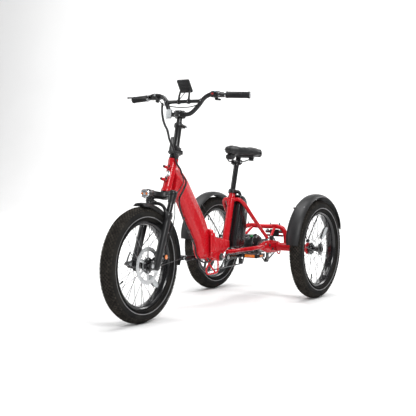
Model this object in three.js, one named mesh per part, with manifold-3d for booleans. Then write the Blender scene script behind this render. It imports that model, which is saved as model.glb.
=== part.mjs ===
// Adult electric tricycle: one steered front wheel, a step-through frame that folds at its lowest
// point, two rear wheels on a wide axle, and a geared motor between the chainstays.
// Millimetres. +X is the rider's left, -Y is forward, +Z is up. The origin is on the ground,
// midway between the front and rear axles.

import * as THREE from 'three';
import { mergeVertices } from 'three/addons/utils/BufferGeometryUtils.js';
import Module from 'manifold-3d';

const wasm = await Module();
wasm.setup();

const radians = THREE.MathUtils.degToRad;

// ---------------------------------------------------------------- driving dimensions

const wheelRadius = 276;
const tyreWidth = 76;
const wheelbase = 1176;
const track = 685;
const wheelSides = 36;

const frontAxleY = -wheelbase / 2;
const rearAxleY = wheelbase / 2;
const rearWheelX = track / 2;

// The steering axis leans back and meets hub height at this point.
const steeringTilt = radians(21.6);
const steeringFoot = new THREE.Vector3(0, -515, wheelRadius);
const legX = 66;
const legAhead = 30;
const suspensionTravel = 45;

// The handlebar stem stands on a fold hinge at the top of the steering axis.
const stemTilt = radians(13);
const stemFoot = new THREE.Vector3(0, -302, 818);

// The seat tube leans back from its foot.
const seatTilt = radians(15.3);
const seatFoot = new THREE.Vector3(0, 164, 300);
const seatTubeLength = 316;

const beamHalfWidth = 27;
const foldY = -12;
const foldPinX = -45;

const crankCentre = [76, 257];
const crankLength = 170;
const chainX = -58;
const chainringRadius = 80;
const motorCentre = [452, 285];
const motorRadius = 66;
const cassetteRadius = 37;
const axleChainX = 58;
const motorSprocketRadius = 26;
const axleSprocketRadius = 48;

const gap = 0.35;

// ---------------------------------------------------------------- materials

function finish(color, roughness, metalness) {
  return new THREE.MeshStandardMaterial({ color, roughness, metalness });
}

const redPaint = finish(0xc8101a, 0.25, 0.3);
const blackPaint = finish(0x17171a, 0.35, 0.3);
const blackPlastic = finish(0x1d1d20, 0.55, 0.0);
const rubber = finish(0x151515, 0.85, 0.0);
const tyreRubber = finish(0x1a1a1a, 0.9, 0.0);
const steel = finish(0xb9bcc0, 0.3, 0.9);
const darkSteel = finish(0x4a4c50, 0.4, 0.8);
const vinyl = finish(0x202022, 0.6, 0.0);

// ---------------------------------------------------------------- geometry helpers

function merged(geometry) {
  const bare = geometry.clone();
  for (const name of ['normal', 'uv']) bare.deleteAttribute(name);
  return mergeVertices(bare, 1e-3);
}

function solidOf(geometry) {
  const whole = merged(geometry);
  return new wasm.Manifold(new wasm.Mesh({
    numProp: 3,
    vertProperties: new Float32Array(whole.attributes.position.array),
    triVerts: new Uint32Array(whole.index.array),
  }));
}

function geometryOf(solid) {
  const mesh = solid.getMesh();
  const geometry = new THREE.BufferGeometry();
  geometry.setAttribute('position', new THREE.BufferAttribute(new Float32Array(mesh.vertProperties), 3));
  geometry.setIndex(new THREE.BufferAttribute(new Uint32Array(mesh.triVerts), 1));
  return geometry;
}

function join(...geometries) {
  return geometryOf(geometries.map(solidOf).reduce((a, b) => a.add(b)));
}

function cut(geometry, ...tools) {
  return geometryOf(tools.map(solidOf).reduce((a, b) => a.subtract(b), solidOf(geometry)));
}

// A closed mesh from rings of equal length. Open runs get a triangulated cap at each end.
function skin(rings, closedRun) {
  const size = rings[0].length;
  const positions = rings.flat().flatMap((p) => [p.x, p.y, p.z]);
  const index = [];
  const runs = closedRun ? rings.length : rings.length - 1;
  for (let i = 0; i < runs; i++) {
    const next = (i + 1) % rings.length;
    for (let j = 0; j < size; j++) {
      const k = (j + 1) % size;
      index.push(i * size + j, i * size + k, next * size + k);
      index.push(i * size + j, next * size + k, next * size + j);
    }
  }
  if (!closedRun) {
    const last = (rings.length - 1) * size;
    for (const [a, b, c] of capTriangles(rings[0])) index.push(c, b, a);
    for (const [a, b, c] of capTriangles(rings.at(-1))) index.push(last + a, last + b, last + c);
  }
  const geometry = new THREE.BufferGeometry();
  geometry.setAttribute('position', new THREE.Float32BufferAttribute(positions, 3));
  geometry.setIndex(index);
  return facingOut(geometry);
}

// Triangles of a flat ring, wound as the ring is.
function capTriangles(ring) {
  const normal = new THREE.Vector3();
  ring.forEach((p, i) => normal.add(new THREE.Vector3().crossVectors(p, ring[(i + 1) % ring.length])));
  const turn = new THREE.Quaternion().setFromUnitVectors(normal.normalize(), new THREE.Vector3(0, 0, 1));
  const flat = ring.map((p) => {
    const q = p.clone().applyQuaternion(turn);
    return new THREE.Vector2(q.x, q.y);
  });
  return THREE.ShapeUtils.triangulateShape(flat, []);
}

function facingOut(geometry) {
  const p = geometry.attributes.position;
  const t = geometry.index.array;
  const corner = (i) => new THREE.Vector3().fromBufferAttribute(p, i);
  let volume = 0;
  for (let i = 0; i < t.length; i += 3) {
    volume += corner(t[i]).dot(corner(t[i + 1]).cross(corner(t[i + 2])));
  }
  if (volume < 0) {
    for (let i = 0; i < t.length; i += 3) [t[i], t[i + 1]] = [t[i + 1], t[i]];
  }
  return geometry;
}

// A profile of [radius, x] points turned about the X axis, from the rear (+Y) over the top.
function turned(profile, sides, from = 0, to = 2 * Math.PI) {
  const whole = to - from > 6.28;
  const offset = whole ? Math.PI / sides : 0;
  const flatten = whole ? 1 / Math.cos(Math.PI / sides) : 1;
  const rings = [];
  for (let i = 0; i < sides + (whole ? 0 : 1); i++) {
    const angle = from + offset + (i * (to - from)) / sides;
    rings.push(profile.map(([r, x]) => new THREE.Vector3(
      x, r * flatten * Math.cos(angle), r * flatten * Math.sin(angle))));
  }
  return skin(rings, whole);
}

function at(geometry, x, y, z) {
  return geometry.translate(x, y, z);
}

function vector(p) {
  return Array.isArray(p) ? new THREE.Vector3(...p) : p.clone();
}

function rod(from, to, radius, sides = 12, endRadius = radius) {
  const a = vector(from);
  const b = vector(to);
  const along = b.clone().sub(a);
  const geometry = new THREE.CylinderGeometry(endRadius, radius, along.length(), sides);
  const turn = new THREE.Quaternion().setFromUnitVectors(new THREE.Vector3(0, 1, 0), along.clone().normalize());
  return geometry.applyQuaternion(turn).translate(...a.add(b).multiplyScalar(0.5).toArray());
}

function sleeve(from, to, outer, inner, sides = 16) {
  const a = vector(from);
  const b = vector(to);
  const over = b.clone().sub(a).normalize();
  return cut(rod(a, b, outer, sides), rod(a.clone().sub(over), b.clone().add(over), inner, sides));
}

function circle(radius, sides) {
  const shape = new THREE.Shape();
  for (let i = 0; i < sides; i++) {
    const angle = (2 * Math.PI * (i + 0.5)) / sides;
    shape[i ? 'lineTo' : 'moveTo'](radius * Math.cos(angle), radius * Math.sin(angle));
  }
  return shape;
}

// A bent tube through the points given.
function tube(points, radius, steps, sides = 8) {
  const path = new THREE.CatmullRomCurve3(points.map(vector), false, 'centripetal');
  return new THREE.ExtrudeGeometry(circle(radius, sides), { steps, extrudePath: path, bevelEnabled: false });
}

function box(x0, x1, y0, y1, z0, z1) {
  const geometry = new THREE.BoxGeometry(x1 - x0, y1 - y0, z1 - z0);
  return geometry.translate((x0 + x1) / 2, (y0 + y1) / 2, (z0 + z1) / 2);
}

const sideView = new THREE.Matrix4().makeBasis(
  new THREE.Vector3(0, 1, 0), new THREE.Vector3(0, 0, 1), new THREE.Vector3(1, 0, 0));

// An outline of [y, z] points, given a width along X and chamfered edges.
function slab(outline, x0, x1, chamfer = 0, holes = []) {
  const shape = new THREE.Shape(outline.map(([y, z]) => new THREE.Vector2(y, z)));
  shape.holes = holes.map((hole) => new THREE.Path(hole.map(([y, z]) => new THREE.Vector2(y, z))));
  const geometry = new THREE.ExtrudeGeometry(shape, {
    depth: x1 - x0 - 2 * chamfer,
    bevelEnabled: chamfer > 0,
    bevelThickness: chamfer,
    bevelSize: chamfer,
    bevelOffset: -chamfer,
    bevelSegments: 1,
    steps: 1,
  });
  return geometry.applyMatrix4(sideView).translate(x0 + chamfer, 0, 0);
}

// Points of a circle, as [y, z] pairs.
function arc([y, z], radius, sides, from = 0, to = 360) {
  const whole = to - from === 360;
  return Array.from({ length: sides + (whole ? 0 : 1) }, (_, i) => {
    const angle = radians(from + ((to - from) * i) / sides);
    return [y + radius * Math.cos(angle), z + radius * Math.sin(angle)];
  });
}

// The outline of a belt pulled tight round some circles: the convex hull of their points.
function beltOutline(wheels, extra) {
  const points = wheels.flatMap(([centre, radius]) => arc(centre, radius + extra, 28));
  points.sort((a, b) => a[0] - b[0] || a[1] - b[1]);
  const turnOf = (o, a, b) => (a[0] - o[0]) * (b[1] - o[1]) - (a[1] - o[1]) * (b[0] - o[0]);
  const half = (list) => {
    const run = [];
    for (const p of list) {
      while (run.length > 1 && turnOf(run.at(-2), run.at(-1), p) <= 0) run.pop();
      run.push(p);
    }
    return run.slice(0, -1);
  };
  return [...half(points), ...half([...points].reverse())];
}

const tricycle = new THREE.Group();

function tilted(foot, tilt) {
  const group = new THREE.Group();
  group.position.copy(foot);
  group.rotation.x = -tilt;
  tricycle.add(group);
  group.updateMatrix();
  return group;
}

// A geometry made in one group's frame, restated in the object's frame or in another group's.
function restated(geometry, from, to = tricycle) {
  return geometry.applyMatrix4(to.matrix.clone().invert().multiply(from.matrix));
}

// Local frames: +Z up the axis, -Y ahead of it. They share the object's X.
const steering = tilted(steeringFoot, steeringTilt);
const stem = tilted(stemFoot, stemTilt);
const seat = tilted(seatFoot, seatTilt);

function piece(name, geometry, material, group = tricycle) {
  const mesh = new THREE.Mesh(geometry, material);
  mesh.name = name;
  group.add(mesh);
}

// ---------------------------------------------------------------- wheels

const rimOuterRadius = 208;
const rimInnerRadius = 192;

// A fat road tyre: round outside, open at the beads, where it sits on the rim.
function tyreProfile() {
  const facets = 9;
  const reach = 138.6;
  const half = radians(reach / facets);
  const section = tyreWidth / 2 / Math.cos(half);
  const centre = wheelRadius - tyreWidth / 2;
  return Array.from({ length: facets + 1 }, (_, i) => {
    const angle = radians(-reach + (2 * reach * i) / facets);
    return [centre + section * Math.cos(angle), section * Math.sin(angle)];
  });
}

function lacedWheel(bore) {
  const rim = turned([
    [rimOuterRadius, -25], [rimOuterRadius, 25], [201, 27], [rimInnerRadius, 14],
    [rimInnerRadius, -14], [201, -27]], wheelSides);
  const hub = turned([
    [bore, -41], [14, -41], [30, -28], [17, -20], [17, 20], [30, 28], [14, 41], [bore, 41]], 14);
  const spokes = [];
  const spokeCount = 18;
  const lacing = radians(50);
  for (let i = 0; i < spokeCount; i++) {
    const side = i % 2 ? 1 : -1;
    const lead = i % 4 < 2 ? lacing : -lacing;
    const angle = (2 * Math.PI * i) / spokeCount;
    const hubEnd = [side * 26, 24 * Math.cos(angle + lead), 24 * Math.sin(angle + lead)];
    const rimEnd = [side * 4, 194 * Math.cos(angle), 194 * Math.sin(angle)];
    spokes.push(rod(hubEnd, rimEnd, 1.6, 3));
  }
  return join(rim, hub, ...spokes);
}

function wheel(side, x, y, bore) {
  piece(`${side}_tyre`, at(turned(tyreProfile(), wheelSides), x, y, wheelRadius), tyreRubber);
  piece(`${side}_laced_wheel`, at(lacedWheel(bore), x, y, wheelRadius), steel);
}

function frontRotor() {
  const windows = [];
  const armCount = 6;
  for (let i = 0; i < armCount; i++) {
    const middle = (360 * i) / armCount;
    windows.push([...arc([0, 0], 70, 4, middle - 24, middle + 24),
      ...arc([0, 0], 26, 2, middle - 16, middle + 16).reverse()]);
  }
  windows.push(arc([0, 0], 12, 12).reverse());
  return at(slab(arc([0, 0], 90, 36), 42.4, 44.6, 0, windows), 0, frontAxleY, wheelRadius);
}

// A mudguard: a shallow channel bent round the wheel, between two angles from the rear.
const fenderSkin = 3;

function fender(radius, halfWidth, from, to, sides) {
  const inner = [[radius - 14, halfWidth - 1], [radius - 1, halfWidth * 0.6],
    [radius - 1, -halfWidth * 0.6], [radius - 14, -halfWidth + 1]];
  const outer = inner.map(([r, x]) => [r + fenderSkin, x * 1.05]).reverse();
  return turned([...inner, ...outer], sides, radians(from), radians(to));
}

wheel('front', 0, frontAxleY, 7);
wheel('left', rearWheelX, rearAxleY, 11);
wheel('right', -rearWheelX, rearAxleY, 11);
piece('front_rotor', frontRotor(), steel);

// ---------------------------------------------------------------- front frame

const headTubeLow = 372;
const headTubeHigh = 527;
const bossReach = 38;

function headTube() {
  const parts = [
    rod([0, 0, headTubeLow], [0, 0, headTubeHigh], 23, 20),
    rod([0, 0, headTubeLow - 9], [0, 0, headTubeLow + 8], 26, 20),
    rod([0, 0, headTubeHigh - 8], [0, 0, headTubeHigh + 9], 25, 20),
  ];
  for (const height of [420, 484]) {
    parts.push(box(-24, 24, -bossReach, -16, height - 8, height + 8));
    for (const x of [-16, 16]) parts.push(rod([x, -bossReach + 1, height], [x, -bossReach - 5, height], 4.5, 6));
  }
  return join(...parts);
}

function frontFrame() {
  const beam = slab([
    [-352, 612], [-276, 554], [-216, 466], [-121, 336], [-114, 284], [-98, 262], [foldY - gap, 257],
    [foldY - gap, 408], [-64, 468], [-228, 678], [-308, 752], [-340, 700]],
  -beamHalfWidth, beamHalfWidth, 14);
  const flange = box(-34, 34, foldY - 14, foldY - gap, 260, 406);
  const knuckle = join(
    rod([foldPinX, foldY, 305], [foldPinX, foldY, 361], 9, 14),
    box(foldPinX, -30, foldY - 9, foldY - gap, 305, 361));
  const steererBore = restated(rod([0, 0, 350], [0, 0, 560], 17, 16), steering);
  const pinBore = rod([foldPinX, foldY, 295], [foldPinX, foldY, 371], 5.4, 12);
  return cut(join(beam, flange, knuckle, restated(headTube(), steering)), steererBore, pinBore);
}

piece('front_frame', frontFrame(), redPaint);

// A latch plate hinged on the front half, hooked over the rear half's flange.
function frameLatch() {
  const plate = slab([[-40, 284], [-34, 278], [-2, 284], [6, 300], [6, 372], [-2, 392], [-30, 396], [-40, 388]],
    36, 45, 2.5);
  return plate;
}

piece('frame_latch', frameLatch(), redPaint);

// Brake hoses and wires, bundled, from the left of the head tube, then along the beam's lower edge.
piece('loom_frame', tube([
  [38, -301, 702], [40, -266, 664], [40, -293, 618], [37, -318, 586], [24, -300, 556], [10, -264, 508],
  [6, -218, 446], [6, -134, 330], [9, -122, 280], [20, -82, 244], [32, -44, 243], [33.5, -22, 250]],
4.6, 34, 6), blackPlastic);

// ---------------------------------------------------------------- fork, in the steering frame

function forkCrown() {
  const plan = new THREE.Shape([
    [-88, -32], [-80, -50], [-56, -52], [-22, -27], [22, -27], [56, -52], [80, -50], [88, -32],
    [78, -10], [24, 24], [-24, 24], [-78, -10]].map(([x, y]) => new THREE.Vector2(x, y)));
  const crown = new THREE.ExtrudeGeometry(plan, {
    depth: 22, bevelEnabled: true, bevelThickness: 4, bevelSize: 4, bevelOffset: -4, bevelSegments: 1,
  }).translate(0, 0, 334);
  const parts = [crown, rod([0, 0, 345], [0, 0, 566], 14.3, 16)];
  for (const x of [-legX, legX]) parts.push(rod([x, -legAhead, 150], [x, -legAhead, 350], 14.5, 14));
  return join(...parts);
}

function forkLowers() {
  const hub = [-67.9, -26.9];
  const parts = [rod([-74, ...hub], [74, ...hub], 5.5, 12)];
  for (const side of [-1, 1]) {
    const x = side * legX;
    parts.push(rod([x, -legAhead, -34], [x, -legAhead, 244], 19, 14));
    parts.push(slab([[-30, 22], [-62, -10], [-82, -20], [-84, -36], [-68, -44], [-30, -34]],
      x - 6, x + 6, 2));
  }
  const arch = tube([[-legX, -44, 226], [-58, -50, 254], [-34, -55, 280], [0, -57, 287],
    [34, -55, 280], [58, -50, 254], [legX, -44, 226]], 8, 20, 8);
  const bracket = join(box(-13, 13, -92, -52, 286, 292), box(-13, 13, -100, -88, 286, 303));
  const bores = [-1, 1].map((side) => rod([side * legX, -legAhead, 60], [side * legX, -legAhead, 260], 16.2, 14));
  return cut(join(...parts, arch, bracket), ...bores);
}

function brakeCaliper() {
  const body = box(35, 57.5, -12, 24, 12, 58);
  const slot = box(40.8, 46.2, -60, 14, 0, 70);
  const legClearance = rod([legX, -legAhead, -20], [legX, -legAhead, 90], 19.8, 14);
  return cut(body, slot, legClearance);
}

piece('fork_crown', forkCrown(), blackPaint, steering);
piece('fork_lowers', forkLowers(), blackPaint, steering);
piece('brake_caliper', brakeCaliper(), blackPaint, steering);

// The quick-release lever on the right of the front axle lies up along the leg.
const leverCamX = -84;

function axleLever() {
  const hub = [-67.9, -26.9];
  return join(
    rod([leverCamX, -76, hub[1]], [leverCamX, -58, hub[1]], 8.5, 12),
    slab([[-74, -30], [-62, -32], [-52, 34], [-62, 38], [-70, 34]], leverCamX - 4, leverCamX + 3, 1.5));
}

piece('axle_lever', axleLever(), darkSteel, steering);

// Front mudguard with its wire stays, bolted under the fork's arch.
const frontFenderRadius = 293;

function frontFender() {
  const shell = fender(frontFenderRadius, 40, -6, 93, 16);
  const parts = [shell];
  for (const x of [-41, 41]) {
    parts.push(tube([[x * 0.98, frontFenderRadius - 11, 8], [x * 1.2, 200, -4], [x * 1.9, 60, -3]], 2.6, 6, 5));
  }
  return at(join(...parts), 0, frontAxleY, wheelRadius);
}

piece('front_fender', frontFender(), blackPlastic);

// Bullet headlight on the bracket in front of the arch.
const lampCentre = [-522, 613];

function headlight() {
  const profile = [[0, -34], [13, -31], [20, -20], [22.5, 0], [23, 30], [21, 34], [0, 36]];
  const lamp = turned(profile, 18).rotateZ(-Math.PI / 2);
  const foot = join(box(-9, 9, 6, 22, -26, -16), rod([-11, 14, -29], [11, 14, -29], 4.4, 10));
  return at(join(lamp, foot, box(-6, 6, 8, 20, -30, -14)), 0, ...lampCentre);
}

piece('headlight', headlight(), steel);

// ---------------------------------------------------------------- stem and handlebar

// The fold hinge's pin, behind the foot of the stem.
const stemPin = [31, 1];

// The base clamps the steerer; its top is parallel to the foot of the stem.
function stemBase() {
  const clamp = restated(rod([0, 0, 537], [0, 0, 568], 23, 16), steering, stem);
  const head = box(-22, 22, -27, 24, -22, -gap);
  const ears = [-1, 1].map((side) => join(
    box(side * 18.5 - 4, side * 18.5 + 4, 18, stemPin[0] + 7, -14, -gap),
    rod([side * 14.5, ...stemPin], [side * 22.5, ...stemPin], 7, 12)));
  const steererBore = restated(rod([0, 0, 530], [0, 0, 569], 14.9, 16), steering, stem);
  return cut(join(clamp, head, ...ears), steererBore);
}

piece('stem_base', stemBase(), blackPaint, stem);

const mastTop = 138;
const mastRadius = 17;

function stemMast() {
  const foot = box(-21, 21, -25, 22, 0, 22);
  const knuckle = rod([-13, ...stemPin], [13, ...stemPin], 6.5, 12);
  const web = box(-13, 13, 18, stemPin[0], 2, 12);
  const mast = rod([0, 0, 10], [0, 0, mastTop], mastRadius, 16);
  const collar = rod([0, 0, mastTop - 20], [0, 0, mastTop], 22.5, 16);
  const lugs = box(-9, 20, 18, 34, mastTop - 18, mastTop - 2);
  const bore = rod([0, 0, 26], [0, 0, mastTop + 5], 14.6, 16);
  const slot = box(-1, 1, 10, 40, mastTop - 30, mastTop + 5);
  return cut(join(foot, knuckle, web, mast, collar, lugs), bore, slot);
}

piece('stem_mast', stemMast(), blackPaint, stem);

// Lever over the front of the stem's fold, hinged at its lower end on the base.
const latchPin = [-34, -14];

piece('stem_latch', join(
  rod([-17, ...latchPin], [17, ...latchPin], 5.5, 10),
  box(-14, 14, -38, -29, -14, 22),
  box(-9, 9, -42, -33, 14, 62)), darkSteel, stem);

// Quick-release lever of the height clamp.
piece('height_lever', join(
  rod([27, 28, mastTop - 17], [27, 28, mastTop - 3], 6, 10),
  box(24, 30, -32, 28, mastTop - 14, mastTop - 6)), steel, stem);

const barClampHeight = 184;

function barPost() {
  const post = rod([0, 0, 40], [0, 0, barClampHeight - 14], 13.6, 16);
  const clamp = rod([-24, 0, barClampHeight], [24, 0, barClampHeight], 21, 14);
  const faceplate = box(-22, 22, -27, -8, barClampHeight - 16, barClampHeight + 16);
  const reflectorArm = box(-56, -20, -32, -25, barClampHeight - 5, barClampHeight + 5);
  const barBore = rod([-60, 0, barClampHeight], [60, 0, barClampHeight], 13, 14);
  return cut(join(post, clamp, faceplate, reflectorArm), barBore);
}

piece('bar_post', barPost(), blackPaint, stem);

// The bar runs through the clamp, rises either side of it, then sweeps back to the grips.
const barLow = new THREE.Vector3(0, 0, barClampHeight).applyAxisAngle(
  new THREE.Vector3(1, 0, 0), -stemTilt).add(stemFoot);
const gripInner = [230, -210, 1091];
const gripOuter = [354, -178, 1087];

function bar(radius) {
  const half = [[34, barLow.y, barLow.z], [62, barLow.y + 3, barLow.z + 6], [92, barLow.y + 24, barLow.z + 42],
    [118, -222, 1078], [142, -214, 1093], [176, -213, 1095], gripInner];
  const mirrored = half.map(([x, y, z]) => [-x, y, z]).reverse();
  const grips = [-1, 1].map((side) => rod(
    [side * 229, gripInner[1], gripInner[2]], [side * gripOuter[0], gripOuter[1], gripOuter[2]], radius, 10));
  return join(tube([...mirrored, ...half], radius, 36, 8), ...grips);
}

const crossbarY = -229;
const crossbarZ = 1064;

function handlebar() {
  const crossbar = rod([-108, crossbarY, crossbarZ], [108, crossbarY, crossbarZ], 8, 8);
  return join(bar(11), crossbar);
}

piece('handlebar', handlebar(), blackPaint);

for (const [side, sign] of [['left', 1], ['right', -1]]) {
  piece(`${side}_grip`, sleeve(
    [sign * 238, gripInner[1] + 2, gripInner[2] - 0.3], [sign * 355, gripOuter[1] + 0.3, gripOuter[2]],
    16, 12.2, 14), rubber);
}

// Centre of the horn button on the front of the left switch pod, as [x, z].
const hornButton = [176, 1098];

// Switch pod and brake perch, clamped round the bar inboard of a grip.
function controls(sign) {
  const pod = box(158, 200, -236, -192, 1079, 1111);
  const perch = box(198, 226, -232, -190, 1078, 1105);
  const pivot = rod([216, -240, 1084], [216, -240, 1102], 8, 10);
  const arm = box(206, 226, -244, -226, 1084, 1102);
  const leverSlot = box(200, 240, -262, -229, 1088.6, 1098.4);
  const whole = cut(join(pod, perch, arm, pivot), leverSlot);
  const buttonWell = rod([sign * hornButton[0], -245, hornButton[1]], [sign * hornButton[0], -233.2, hornButton[1]], 6.6, 12);
  return sign < 0 ? cut(mirrored(whole), bar(11.5)) : cut(whole, bar(11.5), buttonWell);
}

function mirrored(geometry) {
  return facingOut(merged(geometry).scale(-1, 1, 1));
}

function brakeLever(sign) {
  const shape = new THREE.Shape([
    [210, -248], [224, -250], [262, -243], [300, -247], [338, -250], [343, -245], [338, -240], [300, -238],
    [262, -235], [232, -236], [222, -233], [210, -236]].map(([x, y]) => new THREE.Vector2(x, y)));
  const blade = new THREE.ExtrudeGeometry(shape, { depth: 8.4, bevelEnabled: false }).translate(0, 0, 1089.3);
  return sign < 0 ? mirrored(blade) : blade;
}

for (const [side, sign] of [['left', 1], ['right', -1]]) {
  piece(`${side}_controls`, controls(sign), blackPlastic);
  piece(`${side}_brake_lever`, brakeLever(sign), blackPaint);
}

piece('horn_button', rod([hornButton[0], -241, hornButton[1]], [hornButton[0], -236.4, hornButton[1]], 6, 12),
  redPaint);

// Thumb levers under the bar: the throttle on the left, the gear shifter on the right.
function thumbLever(sign) {
  return box(sign > 0 ? 168 : -192, sign > 0 ? 192 : -168, -214, -182, 1066, 1078.4);
}

piece('throttle_lever', thumbLever(1), blackPlastic);
piece('shift_lever', thumbLever(-1), blackPlastic);

// Display on two arms that clamp the crossbar.
function display() {
  const panel = box(-36, 36, -7, 7, -36, 36).rotateX(radians(33)).translate(0, -220, 1142);
  const parts = [panel];
  for (const x of [-30, 30]) {
    parts.push(rod([x - 5, crossbarY, crossbarZ], [x + 5, crossbarY, crossbarZ], 13, 12));
    parts.push(rod([x, crossbarY, crossbarZ + 9], [x, crossbarY + 17, 1130], 5, 8));
  }
  return cut(join(...parts), rod([-60, crossbarY, crossbarZ], [60, crossbarY, crossbarZ], 8.5, 12));
}

piece('display', display(), blackPlastic);

// The loom leaves the bar's right-hand bend and hangs in front of the stem.
piece('loom_bars', tube([
  [-124, -240, 1060], [-116, -254, 1020], [-92, -278, 976], [-56, -312, 944], [-20, -345, 922], [2, -366, 900],
  [22, -383, 870], [26, -363, 838]], 5.5, 18, 6), blackPlastic);
piece('loom_fork', tube([
  [26.4, -361, 834.5], [28, -350, 815], [30, -344, 795], [31, -342, 768]], 5.5, 7, 6), blackPlastic);

// ---------------------------------------------------------------- rear frame

function mainBeam() {
  const junction = slab([
    [foldY + gap, 257], [50, 246], [94, 243], [112, 264], [150, 291], [180, 300], [176, 340],
    [150, 343], [92, 350], [48, 362], [14, 392], [foldY + gap, 408]], -beamHalfWidth, beamHalfWidth, 7);
  const flange = box(-34, 34, foldY + gap, foldY + 14, 260, 406);
  const crankShell = rod([-34, ...crankCentre], [34, ...crankCentre], 22, 16);
  const seatTube = restated(rod([0, 0, 0], [0, 0, seatTubeLength], 18, 16), seat);
  const knuckles = [[268, 304.5], [361.5, 398]].map(([low, high]) => join(
    rod([foldPinX, foldY, low], [foldPinX, foldY, high], 9, 14),
    box(foldPinX, -30, foldY + gap, foldY + 9, low, high)));
  const pin = rod([foldPinX, foldY, 270], [foldPinX, foldY, 396], 4.8, 12);
  const guard = join(
    tube([[24, 6, 252], [24, -20, 236], [24, -54, 200], [24, -44, 179], [24, 8, 175], [24, 50, 178],
      [24, 59, 192], [24, 59, 250]], 4.5, 20, 6),
    rod([-20, 6, 252], [24, 34, 178], 4.5, 6));
  const postBore = restated(rod([0, 0, 60], [0, 0, seatTubeLength + 5], 15.2, 16), seat);
  const axleBore = rod([-40, ...crankCentre], [40, ...crankCentre], 10, 12);
  return cut(join(junction, flange, crankShell, seatTube, ...knuckles, pin, guard), postBore, axleBore);
}

piece('main_beam', mainBeam(), redPaint);

const plateOuterX = 100;

function chainstay(sign) {
  const stay = tube([[31, 142, 279], [43, 190, 279], [54, 258, 281], [84, 335, 285], [94, 402, 289]], 11, 10, 8);
  const plate = slab([
    [390, 276], [430, 262], [470, 250], [560, 244], ...arc([rearAxleY, wheelRadius], 31, 6, -90, 90),
    [556, 312], [520, 320], [440, 317], [390, 302]],
  plateOuterX - 9, plateOuterX, 0, [arc([rearAxleY, wheelRadius], 14, 12).reverse()]);
  const bolts = [[494, 291], [529, 268]].map((p) => rod([99, ...p], [106, ...p], 8, 6));
  const whole = join(stay, plate, ...bolts);
  return sign < 0 ? mirrored(whole) : whole;
}

function seatstay(sign) {
  const stay = tube([
    [19.2, 236, 556], [42, 240, 558], [61, 257, 541], [76, 340, 456], [94, 474, 331]], 10.5, 10, 8);
  return sign < 0 ? mirrored(stay) : stay;
}

const housingEndX = 300;
const archX = 142;
const archTop = 388;

function axleHousing() {
  const parts = [];
  for (const side of [-1, 1]) {
    const axis = (x) => [side * x, rearAxleY, wheelRadius];
    parts.push(rod(axis(plateOuterX + gap), axis(housingEndX - 4), 23, 16));
    parts.push(rod(axis(housingEndX - 12), axis(housingEndX), 33, 16));
    parts.push(rod([side * 74, rearAxleY + 8, archTop - 4], [side * 88, 522, 334], 8, 8));
    for (const x of [side * 104, side * 46]) {
      parts.push(rod([x, rearAxleY + 12, archTop], [x, rearAxleY + 12, archTop + 24], 3.5, 6));
    }
    parts.push(box(side * 75 - 14, side * 75 + 14, rearAxleY - 2, rearAxleY + 26, archTop + 4, archTop + 16));
  }
  const archY = rearAxleY + 12;
  parts.push(tube([
    [-archX - 4, archY, 284], [-archX, archY, 345], [-archX + 14, archY, archTop - 10],
    [-archX + 40, archY, archTop], [archX - 40, archY, archTop], [archX - 14, archY, archTop - 10],
    [archX, archY, 345], [archX + 4, archY, 284]], 13, 20, 8));
  const shaftBores = [-1, 1].map((side) => rod(
    [side * 80, rearAxleY, wheelRadius], [side * 320, rearAxleY, wheelRadius], 12.5, 12));
  return cut(join(...parts), ...shaftBores);
}

piece('axle_housing', axleHousing(), redPaint);

// Tail light and reflector bars on a plate hung from the arch.
piece('rear_light', join(
  box(34, 92, rearAxleY + 24, rearAxleY + 31, 332, 372),
  box(2, 124, rearAxleY + 26, rearAxleY + 40, 350, 366),
  box(8, 118, rearAxleY + 26, rearAxleY + 40, 330, 342)), blackPlastic);

// Rear mudguards, centred a little ahead of the axle and above it, each with two stays to the
// end of the axle housing.
const rearFenderRadius = 297;
const rearFenderAhead = 12;
const rearFenderLift = 10;

function rearFender(sign) {
  const shell = at(fender(rearFenderRadius, 42, 17, 174, 22), 0, -rearFenderAhead, rearFenderLift);
  const bracket = box(-58, -44, -12, 12, 34, 50);
  const stays = [50, 128].map((angle) => {
    const reach = rearFenderRadius - 9;
    return rod([-50, 0, 42], [-41, reach * Math.cos(radians(angle)) - rearFenderAhead,
      reach * Math.sin(radians(angle)) + rearFenderLift], 3.5, 6);
  });
  const whole = at(join(shell, bracket, ...stays), rearWheelX, rearAxleY, wheelRadius);
  return sign < 0 ? mirrored(whole) : whole;
}

for (const [side, sign] of [['left', 1], ['right', -1]]) {
  piece(`${side}_chainstay`, chainstay(sign), redPaint);
  piece(`${side}_seatstay`, seatstay(sign), redPaint);
  piece(`${side}_fender`, rearFender(sign), blackPlastic);
}

// ---------------------------------------------------------------- seat and battery, in the seat frame

piece('seat_clamp', join(
  sleeve([0, 0, seatTubeLength - 16], [0, 0, seatTubeLength - 1], 23.5, 18.4),
  sleeve([0, 0, seatTubeLength + gap], [0, 0, seatTubeLength + 6], 23.5, 15.4),
  sleeve([0, 0, seatTubeLength - 1.5], [0, 0, seatTubeLength + 1], 23.5, 18.4),
  box(21, 33, -8, 8, seatTubeLength - 14, seatTubeLength + 4)), blackPaint, seat);
piece('seat_lever', join(
  rod([39.5, 0, seatTubeLength - 13], [39.5, 0, seatTubeLength + 1], 6, 10),
  box(35, 41, -58, 0, seatTubeLength - 10, seatTubeLength - 2)), blackPaint, seat);

const postTop = 474;

function seatpost() {
  const post = rod([0, 0, 150], [0, 0, postTop], 14.4, 16);
  const head = rod([-24, 0, postTop], [24, 0, postTop], 13, 12);
  const upright = seatTilt;
  const rails = [-1, 1].map((side) => tube([
    [side * 8, -92, 30], [side * 21, -52, 12], [side * 21, 0, 9], [side * 21, 42, 9], [side * 42, 86, 27]],
  3.6, 8, 6).rotateX(upright).translate(0, 0, postTop));
  return join(post, head, ...rails);
}

piece('seatpost', seatpost(), blackPaint, seat);

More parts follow.
